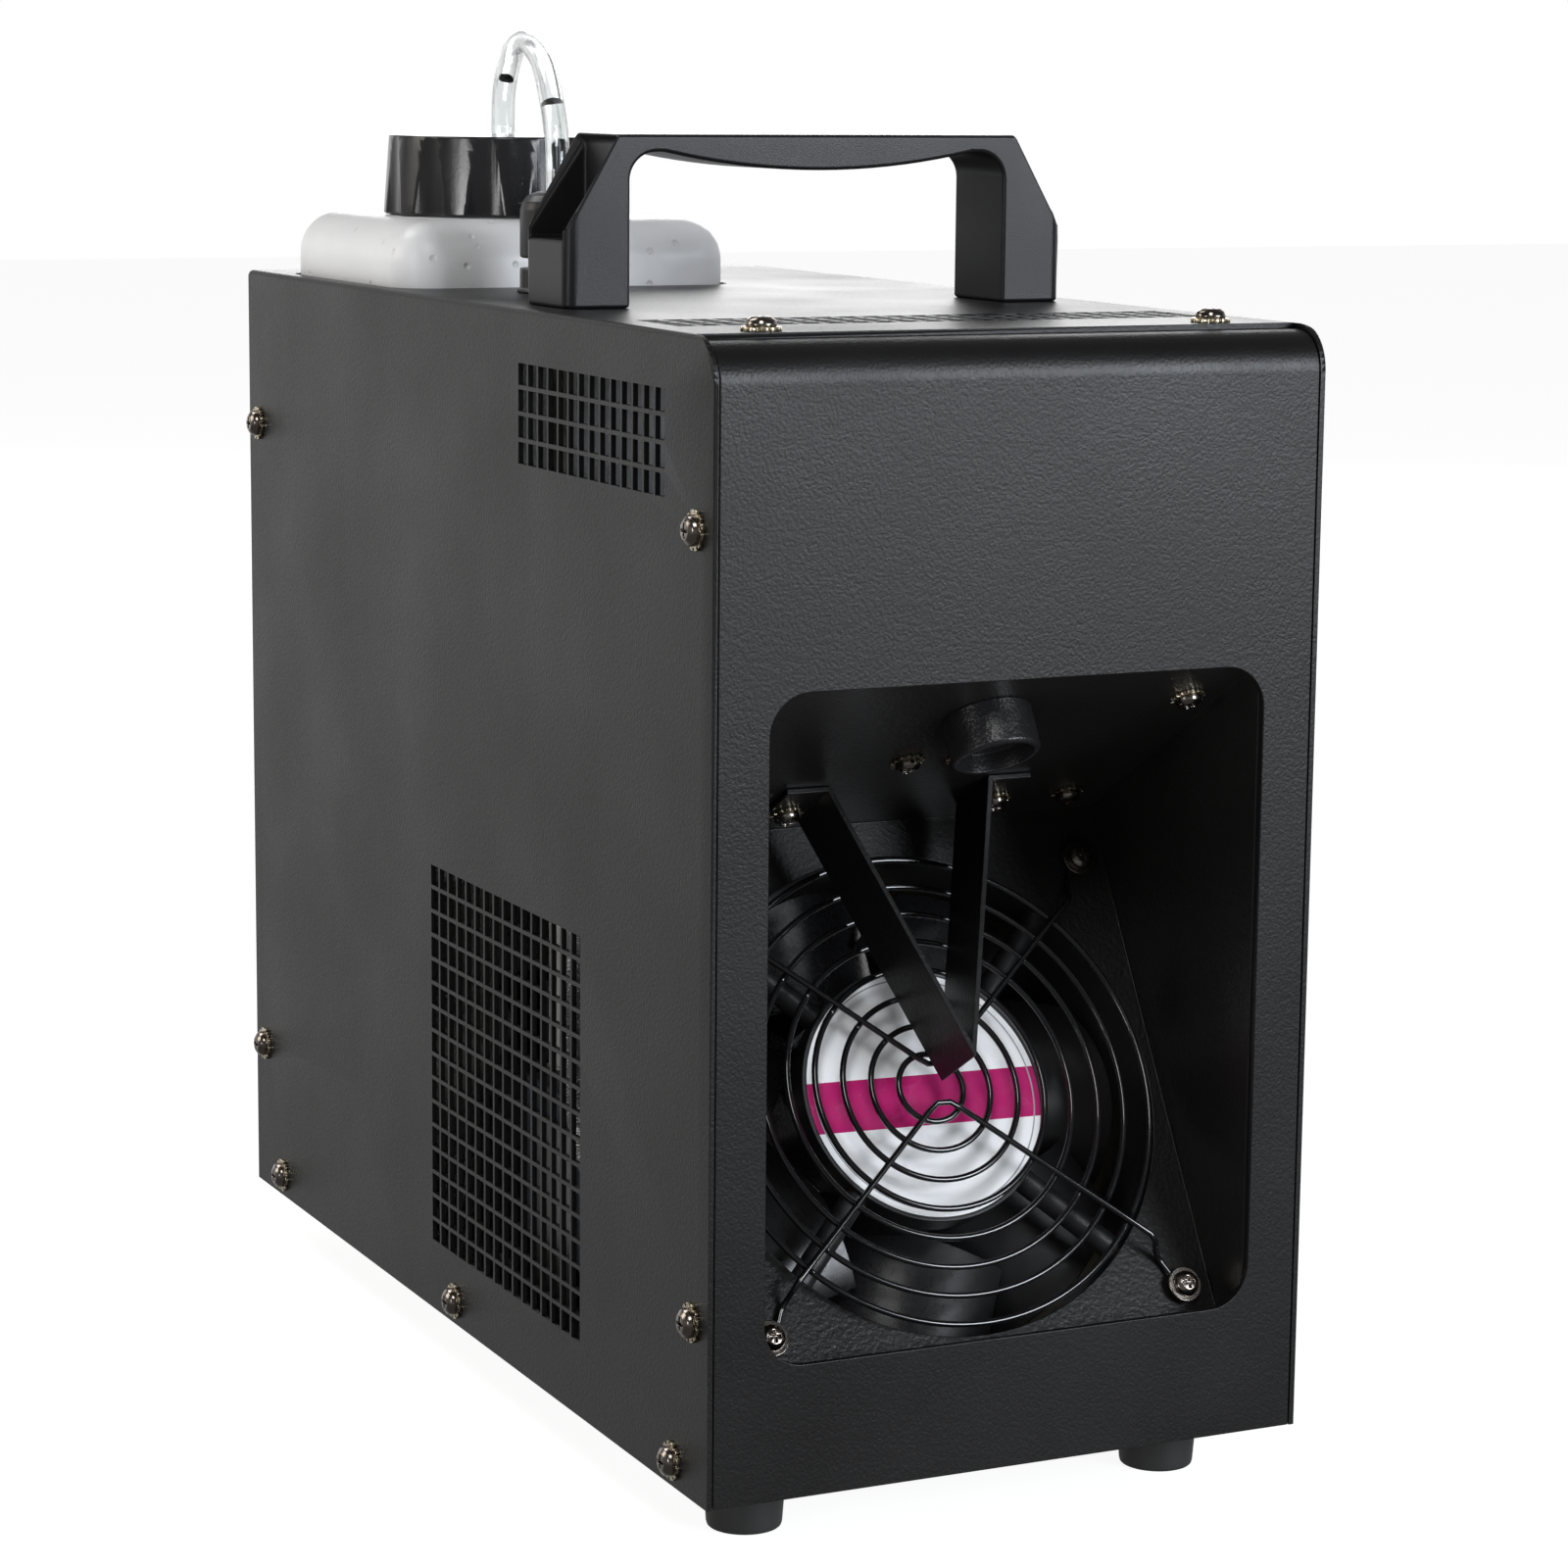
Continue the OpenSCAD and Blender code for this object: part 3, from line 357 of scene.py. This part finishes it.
# ---------------------------------------------------------------- recess
# A folded black shroud behind the front opening: a tilted plate that carries the fan, side walls,
# and the sloping plate over it that carries the nozzle. Its coat is smoother than the case's.
recess_coat = coarse("recess_coat", (0.008, 0.0077, 0.0075), 0.32, 1.1 * MM, 0.1 * MM, spread=0.05,
                     Specular_IOR_Level=0.3)
made("shroud", formed("recess_shroud", 0.2 * MM), "machine", recess_coat,
     ["recess_shroud"])
made("nozzle_strip", formed("nozzle_guard", 0.2 * MM), "machine", recess_coat,
     ["nozzle_guard"])

# Nozzle: a turned steel cup with a hammered black coat, with a brass jet in its mouth.
nozzle_coat = Finish("nozzle_coat", (0.009, 0.009, 0.01), 0.34)
nozzle_coat.bump(nozzle_coat.cells(0.8 * MM) + nozzle_coat.noise(0.4 * MM) * 0.4, 0.08 * MM)
nozzle_coat.vary(Roughness=nozzle_coat.noise(3 * MM).fit(0.3, 0.7, 0.26, 0.42))
made("nozzle_cup", formed("nozzle", 0.3 * MM), "machine", nozzle_coat, ["nozzle"])
brass = coarse("machined_brass", (0.52, 0.36, 0.15), 0.3, 0.5 * MM, 0.02 * MM, Metallic=1.0)
for name, node in (("nozzle_jet", "nozzle_tip"), ("heater_elbow", "heater_inlet"),
                   ("board_pillars", "board_standoffs"), ("inlet_blades", "inlet_pins"),
                   ("socket_pins", "dmx_pins"), ("fan_bush", "fan_bearing")):
    made(name, formed(node, 0.12 * MM), "machine", brass, [node])
turned_steel = coarse("turned_steel", (0.55, 0.55, 0.55), 0.28, 0.4 * MM, 0.02 * MM, Metallic=1.0)
made("nozzle_pipe", formed("nozzle_stem", 0.15 * MM), "machine", turned_steel,
     ["nozzle_stem"])

# ---------------------------------------------------------------- fan
# An axial fan in a square die-cast frame, 120 mm a side, with a wire guard. A foil label with one
# magenta band covers the motor's hub.
FAN_TILT = math.radians(30.7)
FAN_UP = Vector((0, math.sin(FAN_TILT), math.cos(FAN_TILT)))
label_low, label_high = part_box("fan_label")
LABEL_CENTRE = (label_low + label_high) / 2
LABEL_R = (label_high.x - label_low.x) / 2
BAND_DROP = 1.5 * MM
BAND_HALF = 6.0 * MM
BAND_SLOPE = 0.02
RING_R = LABEL_R - 1.6 * MM
RING_HALF = 0.18 * MM
LABEL_WHITE = (0.86, 0.87, 0.88)
LABEL_MAGENTA = (0.43, 0.012, 0.13)
LABEL_GREY = (0.32, 0.33, 0.35)

guard_gloss = coarse("guard_gloss", (0.006, 0.006, 0.0065), 0.16, 2 * MM, 0.01 * MM, spread=0.04,
                     Coat_Weight=0.6)
made("wire_guard", formed("finger_guard"), "machine", guard_gloss, ["finger_guard"],
     smooth=70)
fan_cast = coarse("fan_cast", (0.013, 0.013, 0.014), 0.4, 0.6 * MM, 0.05 * MM)
made("fan_casting", formed("fan_frame", 0.3 * MM), "machine", fan_cast, ["fan_frame"])
blade_plastic = coarse("blade_plastic", (0.012, 0.012, 0.013), 0.3, 1.5 * MM, 0.02 * MM)
made("fan_wheel", formed("fan_rotor", 0.3 * MM), "rotor", blade_plastic,
     ["fan_rotor"])
copper = coarse("enamelled_copper", (0.5, 0.2, 0.08), 0.3, 0.3 * MM, 0.08 * MM, Metallic=0.9)
made("motor_winding", formed("fan_stator", 0.8 * MM), "machine", copper,
     ["fan_stator"])
foil = Finish("label_foil", LABEL_WHITE, 0.22, Coat_Weight=0.3)
up_label = foil.along(FAN_UP, LABEL_CENTRE)
across_label = foil.along((1, 0, 0), LABEL_CENTRE)
from_centre = (up_label * up_label + across_label * across_label).root()
band = abs(up_label + across_label * BAND_SLOPE + BAND_DROP) < BAND_HALF
ring = abs(from_centre - RING_R) < RING_HALF
print_ink = foil.between(band, LABEL_WHITE, LABEL_MAGENTA)
foil.vary(Base_Color=foil.between(ring, print_ink, LABEL_GREY))
foil.vary(Roughness=foil.noise(5 * MM).fit(0.3, 0.7, 0.16, 0.3))
foil.bump(foil.noise(7 * MM), 0.1 * MM)
made("hub_label", formed("fan_label", 0.08 * MM), "machine", foil, ["fan_label"])

# ---------------------------------------------------------------- handle
# One moulding in black plastic with a fine grain: two legs with open channels outside, and a grip
# that is a little hollow underneath. The channels' webs are moved in to the moulding's real depth.
handle_grain = coarse("handle_grain", (0.01, 0.01, 0.0112), 0.34, 0.35 * MM, 0.03 * MM,
                      spread=0.04, Specular_IOR_Level=0.26)
WEB_X = 52.6 * MM
WEB_DEEPER_X = 49.9 * MM
WEB_TOLERANCE = 0.05 * MM
moulding = formed("handle")
for vert in moulding.verts:
    if abs(abs(vert.co.x) - WEB_X) < WEB_TOLERANCE:
        vert.co.x *= WEB_DEEPER_X / WEB_X
made("carrying_handle", eased(moulding, 0.9 * MM, 40, 4), "machine",
     handle_grain, ["handle"])

# ---------------------------------------------------------------- tank
# A blow-moulded bottle in translucent polyethylene. Its skin has small dimples, and the fluid
# inside shows as a darker, cooler zone up to its level.
TANK_LOW, TANK_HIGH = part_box("tank")
TANK_WALL = 2 * MM
SHOULDER_R = 10.5 * MM
NECK_R = 26 * MM
NECK_HEIGHT = 16 * MM
NECK_SIDES = 64
CAP_LOW, CAP_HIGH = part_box("tank_cap")
FLUID_LEVEL = TANK_LOW.z + 0.128
LEVEL_BLUR = 0.4 * MM


def moulded(inset):
    """The tank's skin, inset from its outside: a box with round edges and an open round neck."""
    low = TANK_LOW + Vector((inset, inset, inset))
    high = TANK_HIGH - Vector((inset, inset, NECK_HEIGHT + inset))
    bm = bmesh.new()
    bmesh.ops.create_cube(bm, size=1, matrix=Matrix.Translation((low + high) / 2)
                          @ Matrix.Diagonal((*(high - low), 1)))
    bmesh.ops.bevel(bm, geom=bm.edges[:], offset=SHOULDER_R - inset, offset_type="OFFSET",
                    affect="EDGES", segments=8, profile=0.5, clamp_overlap=False, material=-1)
    lid = max(bm.faces, key=lambda face: face.calc_center_median().z)
    rim = lid.edges[:]
    bmesh.ops.delete(bm, geom=[lid], context="FACES_ONLY")
    middle = (CAP_LOW + CAP_HIGH) / 2
    mouth = Matrix.Translation((middle.x, middle.y, high.z))
    hole = bmesh.ops.create_circle(bm, segments=NECK_SIDES, radius=NECK_R - inset,
                                   matrix=mouth)["verts"]
    loop = list({edge for vert in hole for edge in vert.link_edges})
    bmesh.ops.triangle_fill(bm, use_beauty=True, edges=rim + loop)
    raised_loop = bmesh.ops.extrude_edge_only(bm, edges=loop)["geom"]
    bmesh.ops.translate(bm, verts=[v for v in raised_loop if isinstance(v, bmesh.types.BMVert)],
                        vec=(0, 0, TANK_HIGH.z - high.z))
    bmesh.ops.recalc_face_normals(bm, faces=bm.faces)
    return bm


bottle = moulded(0)
inside = moulded(TANK_WALL)
bmesh.ops.reverse_faces(inside, faces=inside.faces)
inside_mesh = bpy.data.meshes.new("inside")
inside.to_mesh(inside_mesh)
inside.free()
bottle.from_mesh(inside_mesh)
bmesh.ops.bridge_loops(bottle, edges=[edge for edge in bottle.edges if edge.is_boundary])
hdpe = Finish("tank_hdpe", (0.86, 0.865, 0.875), 0.38, Subsurface_Weight=0.4,
              Subsurface_Radius=(1.0, 1.0, 1.0), Subsurface_Scale=0.006)
level_mask = hdpe.along((0, 0, 1)).fit(FLUID_LEVEL - LEVEL_BLUR, FLUID_LEVEL + LEVEL_BLUR)
cloud = hdpe.noise(25 * MM, 3.0)
dry = hdpe.between(cloud.fit(0.3, 0.7), (0.83, 0.835, 0.85), (0.89, 0.895, 0.905))
hdpe.vary(Base_Color=hdpe.between(level_mask, (0.68, 0.72, 0.74), dry))
pits = hdpe.cells(6 * MM).fit(0.05, 0.17)
hdpe.bump(pits + hdpe.noise(2 * MM) * 0.1, 0.5 * MM)
hdpe.vary(Roughness=hdpe.noise(4 * MM).fit(0.3, 0.7, 0.3, 0.46))
made("fluid_bottle", bottle, "tank", hdpe, ["tank"], smooth=50)
cap_gloss = coarse("cap_gloss", (0.013, 0.013, 0.014), 0.2, 0.5 * MM, 0.015 * MM, spread=0.06)
made("screw_cap", formed("tank_cap", 0.6 * MM, 25, 3), "cap", cap_gloss,
     ["tank_cap"])
foam = coarse("seal_foam", (0.6, 0.6, 0.57), 0.8, 0.4 * MM, 0.1 * MM)
made("sealing_disc", formed("cap_seal", 0.2 * MM), "seal", foam, ["cap_seal"])
bronze = coarse("filter_bronze", (0.45, 0.3, 0.13), 0.55, 0.5 * MM, 0.2 * MM, Metallic=1.0)
made("sinter_filter", formed("pickup_filter", 0.4 * MM), "tank", bronze,
     ["pickup_filter"])

# Push-in fitting: a nut on the lid, a pale body and a domed black collar that lets the hose go
# when it is pressed.
fitting_black = coarse("fitting_black", (0.016, 0.016, 0.017), 0.36, 0.4 * MM, 0.03 * MM)
pale_plastic = coarse("pale_plastic", (0.72, 0.71, 0.66), 0.4, 0.6 * MM, 0.03 * MM)
made("fitting_base", formed("fitting_nut", 0.35 * MM), "machine", fitting_black,
     ["fitting_nut"])
made("fitting_neck", formed("fitting_stem", 0.3 * MM), "machine", pale_plastic,
     ["fitting_stem"])
made("release_collar", formed("fitting_collar", 0.25 * MM, 20), "collar",
     fitting_black, ["fitting_collar"])

# ---------------------------------------------------------------- inside
# Heater in its glass-cloth jacket over the recess, pump on the floor, hoses between them, and the
# boards. They show through the vents.
cast_metal = coarse("cast_aluminium", (0.5, 0.51, 0.52), 0.45, 0.8 * MM, 0.1 * MM, Metallic=0.9)
made("heater_body", formed("heater_block", 0.8 * MM), "machine", cast_metal,
     ["heater_block"])
glass_cloth = coarse("glass_cloth", (0.66, 0.62, 0.52), 0.85, 1.4 * MM, 0.4 * MM)
made("heater_blanket", formed("heater_jacket", 2 * MM), "machine", glass_cloth,
     ["heater_jacket"])
ceramic = coarse("ceramic_white", (0.78, 0.75, 0.68), 0.3, 0.8 * MM, 0.02 * MM)
made("heat_cutout", formed("thermostat", 0.3 * MM), "machine", ceramic,
     ["thermostat"])
coil_black = coarse("coil_moulding", (0.03, 0.035, 0.045), 0.4, 0.6 * MM, 0.04 * MM)
made("pump_winding", formed("pump_coil", 1.2 * MM), "machine", coil_black,
     ["pump_coil"])
made("pump_body", formed("pump_tube", 0.3 * MM), "machine", pale_plastic,
     ["pump_tube"])
made("pump_piston", formed("pump_plunger", 0.4 * MM), "plunger", turned_steel,
     ["pump_plunger"])
plated = coarse("zinc_plated_sheet", (0.6, 0.61, 0.6), 0.32, 6 * MM, 0.03 * MM, Metallic=1.0)
made("pump_cradle", formed("pump_bracket", 0.2 * MM), "machine", plated,
     ["pump_bracket"])
made("tank_well", formed("tank_tray", 0.2 * MM), "machine", plated, ["tank_tray"])
made("suction_hose", formed("supply_hose"), "machine", pale_plastic, ["supply_hose"],
     smooth=60)

# Pressure hose from the pump to the heater, with a woven steel sleeve. Its threads cross, and the
# weave is a fine chequered wave in space, painted dark where it lies low as shade between the
# threads.
BRAID_ROUTE = [
    (-42.2, 41.7, 193), (-50, 42.3, 192.5), (-58, 45, 189), (-64, 51, 179), (-66.5, 62, 160),
    (-66.5, 75, 136), (-66, 87, 112), (-66, 93, 90), (-65.5, 93, 72), (-63.5, 90, 56),
    (-58.5, 88, 45), (-52, 88, 42),
]
BRAID_R = 3.5 * MM
WEAVE_SCALE = 1500.0
braid = Finish("steel_braid", (0.62, 0.62, 0.63), 0.32, Metallic=1.0)
threads = braid.add("TexMagic", {"turbulence_depth": 1},
                    {"Vector": braid.place(), "Scale": WEAVE_SCALE}, 1)
braid.bump(threads, 0.3 * MM)
# Painted shade: the colour is dark where the weave lies low, between the threads, and pale on
# them.
braid.vary(Base_Color=braid.between(threads, (0.2, 0.2, 0.21), (0.75, 0.75, 0.76)))
made("braided_sleeve", rods([smooth_line(BRAID_ROUTE)], BRAID_R), "machine", braid,
     ["braided_hose"], smooth=60)

# ---------------------------------------------------------------- electronics
# A power board with its transformer beside the pump, and a small board behind the display.
solder_mask = coarse("solder_mask", (0.02, 0.13, 0.05), 0.3, 1.5 * MM, 0.03 * MM)
made("power_circuit", formed("power_board", 0.1 * MM), "machine", solder_mask,
     ["power_board"])
made("control_circuit", formed("control_board", 0.1 * MM), "machine", solder_mask,
     ["control_board"])
core_lacquer = coarse("core_lacquer", (0.32, 0.27, 0.1), 0.4, 0.5 * MM, 0.08 * MM)
made("mains_transformer", formed("transformer", 0.5 * MM), "machine",
     core_lacquer, ["transformer"])
sleeve_blue = coarse("sleeve_blue", (0.04, 0.06, 0.22), 0.35, 1.2 * MM, 0.02 * MM)
made("board_parts", formed("board_components", 0.5 * MM), "machine", sleeve_blue,
     ["board_components"])
wire_sleeve = coarse("wire_sleeve", (0.33, 0.03, 0.02), 0.4, 1 * MM, 0.02 * MM)
made("mains_leads", formed("mains_wires"), "machine", wire_sleeve, ["mains_wires"],
     smooth=60)

# ---------------------------------------------------------------- rear controls
# A mains inlet with its fuse drawer, a rocker switch, a display with four buttons, and a plug-side
# and a socket-side three-pin connector.
shell_black = coarse("shell_black", (0.02, 0.02, 0.021), 0.42, 0.5 * MM, 0.04 * MM)
rocker_gloss = coarse("rocker_gloss", (0.014, 0.014, 0.015), 0.18, 1 * MM, 0.01 * MM)
key_grey = coarse("key_grey", (0.075, 0.075, 0.08), 0.45, 0.4 * MM, 0.04 * MM)
for name, node, body, edge in (("mains_socket_shell", "power_inlet", "machine", 0.4),
                               ("fuse_carrier", "fuse_drawer", "drawer", 0.3),
                               ("switch_bezel", "switch_frame", "machine", 0.4),
                               ("plug_side_shell", "dmx_in", "machine", 0.3),
                               ("socket_side_shell", "dmx_out", "machine", 0.3)):
    made(name, formed(node, edge * MM), body, shell_black, [node])
made("rocker", formed("switch_rocker", 0.5 * MM), "rocker", rocker_gloss,
     ["switch_rocker"])
made("latch_tab", formed("dmx_latch", 0.4 * MM), "latch", turned_steel,
     ["dmx_latch"])
for key in ("menu", "down", "up", "enter"):
    made(f"{key}_cap", formed(f"button_{key}", 0.25 * MM), f"{key}_key", key_grey,
         [f"button_{key}"])

# Marks on the rear, as thin plates: lit seven-segment digits that stand a hair out of the window,
# and a dot, two arrows and a dash for the keys. Those four lie 0.05 mm under the keys' faces, so
# the keys look blank.
BACKWARD = Matrix.Rotation(math.pi, 4, "Z") @ Matrix.Rotation(math.pi / 2, 4, "X")
MARK_R = 2 * MM
MARK_THICK = 0.05 * MM
BAR_R = 1.3 * MM
BAR_THICK = 0.06 * MM
BAR_OFFSET = 2.7 * MM
FIRST_DIGIT = 16 * MM
DIGIT_PITCH = 12 * MM
BARS = {"a": (0, 2), "b": (-1, 1), "c": (-1, -1), "d": (0, -2), "e": (1, -1), "f": (1, 1)}
mark_white = coarse("mark_white", (0.7, 0.7, 0.7), 0.5, 0.5 * MM, 0.01 * MM)
digit_red = Finish("digit_red", (0.5, 0.02, 0.01), 0.5, Emission_Strength=2.0)
glow = digit_red.noise(2 * MM).fit(0.3, 0.7)
digit_red.vary(Emission_Color=digit_red.between(glow, (0.8, 0.03, 0.01), (1.0, 0.06, 0.02)))
digit_red.bump(digit_red.noise(1 * MM), 0.01 * MM)


def plate(sides, radius, place, turn, stretch, thick):
    """A thin flat mark on a rear face: a polygon of so many sides, turned and stretched."""
    bm = bmesh.new()
    spot = Matrix.Translation(place) @ BACKWARD @ Matrix.Rotation(turn, 4, "Z")
    bmesh.ops.create_circle(bm, cap_ends=True, segments=sides, radius=radius,
                            matrix=spot @ Matrix.Diagonal((*stretch, 1, 1)))
    bmesh.ops.solidify(bm, geom=bm.faces[:], thickness=thick)
    bmesh.ops.recalc_face_normals(bm, faces=bm.faces)
    return bm


for key, sides, turn, stretch in (("menu", 24, 0.0, (0.6, 0.6)),
                                  ("down", 3, -math.pi / 2, (1, 1)),
                                  ("up", 3, math.pi / 2, (1, 1)),
                                  ("enter", 4, math.pi / 4, (1.2, 0.4))):
    low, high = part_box(f"button_{key}")
    spot = Vector(((low.x + high.x) / 2, high.y - 0.05 * MM, (low.z + high.z) / 2))
    made(f"{key}_mark", plate(sides, MARK_R, spot, turn, stretch, MARK_THICK), f"{key}_key",
         mark_white)
window_low, window_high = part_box("display_window")
for column, digit in enumerate(("abcdef", "abcdef", "bc")):
    centre = Vector((window_low.x + FIRST_DIGIT + DIGIT_PITCH * column, window_high.y + 0.02 * MM,
                     (window_low.z + window_high.z) / 2))
    for bar, (across_by, up_by) in BARS.items():
        if bar in digit:
            spot = centre + Vector((across_by * BAR_OFFSET, 0, up_by * BAR_OFFSET))
            stretch = (0.5, 1.7) if across_by else (1.7, 0.5)
            made(f"digit_{column}_{bar}", plate(4, BAR_R, spot, 0.0, stretch, BAR_THICK),
                 "machine", digit_red)

tinted = coarse("tinted_window", (0.018, 0.006, 0.006), 0.1, 3 * MM, 0.005 * MM, spread=0.03)
made("display_lens", formed("display_window", 0.3 * MM), "machine", tinted,
     ["display_window"])

# ---------------------------------------------------------------- studio
# A plain pale floor under a pale surround, and six square soft lights. The front light is the
# strongest and a little cool. The others stand to the left, over the front, behind and above.
FLOOR_HALF = 6
AIM = Vector((0, 0, 0.15))
bpy.context.scene.view_settings.view_transform = "Standard"
floor_paint = Finish("floor_paint", (0.3, 0.3, 0.3), 0.8, Specular_IOR_Level=0.0,
                     Emission_Color=(1, 1, 1, 1), Emission_Strength=0.92)
floor_mesh = bpy.data.meshes.new("floor")
floor_shape = bmesh.new()
bmesh.ops.create_grid(floor_shape, x_segments=1, y_segments=1, size=FLOOR_HALF)
floor_shape.to_mesh(floor_mesh)
floor_shape.free()
floor_mesh.materials.append(floor_paint.material)
floor = bpy.data.objects.new("floor", floor_mesh)
bpy.context.scene.collection.objects.link(floor)
floor.visible_glossy = False


class Surround(Finish):
    """The pale surround. It is bright behind the machine, and dim at the sides, in front and
    high up."""

    def __init__(self):
        self.world = bpy.data.worlds.new("surround")
        self.world.use_nodes = True
        self.tree = self.world.node_tree
        self.shader = self.tree.nodes["Background"]


surround = Surround()
bpy.context.scene.world = surround.world
toward = surround.add("TexCoord", {}, {}, "Generated")
behind = surround.add("VectorMath", {"operation": "DOT_PRODUCT"},
                      {0: toward, 1: (math.sin(YAW), math.cos(YAW), 0)}, "Value")
climb = surround.add("SeparateXYZ", {}, {"Vector": toward}, "Z")
brightness = (behind.fit(0.25, 0.82, 0.2, 1.0) * climb.fit(-0.3, -0.06, 0.5, 1.0)
              * climb.fit(0.08, 0.4, 1.0, 0.25))
surround.vary(Color=surround.between(brightness, (0, 0, 0), (1, 1, 1)))


def softbox(name, place, size, power, colour=(1, 1, 1)):
    """A square light, size metres a side and power watts, that faces the machine."""
    light = bpy.data.lights.new(name, "AREA")
    light.size = size
    light.energy = power
    light.color = colour
    lamp = bpy.data.objects.new(name, light)
    lamp.location = place
    lamp.rotation_euler = (AIM - Vector(place)).to_track_quat("-Z", "Y").to_euler()
    bpy.context.scene.collection.objects.link(lamp)


softbox("front_light", (0.95, -1.8, 0.62), 0.8, 30, (0.88, 0.93, 1.0))
softbox("left_light", (-2.2, -1.1, 0.45), 0.5, 9)
softbox("high_light", (-0.7, -1.7, 1.9), 0.7, 13)
softbox("side_light", (-1.9, 1.0, 0.9), 0.9, 8, (1.0, 0.93, 0.84))
softbox("top_light", (-0.7, 1.1, 1.9), 1.0, 14)
softbox("back_light", (1.0, 2.0, 0.9), 1.0, 11)
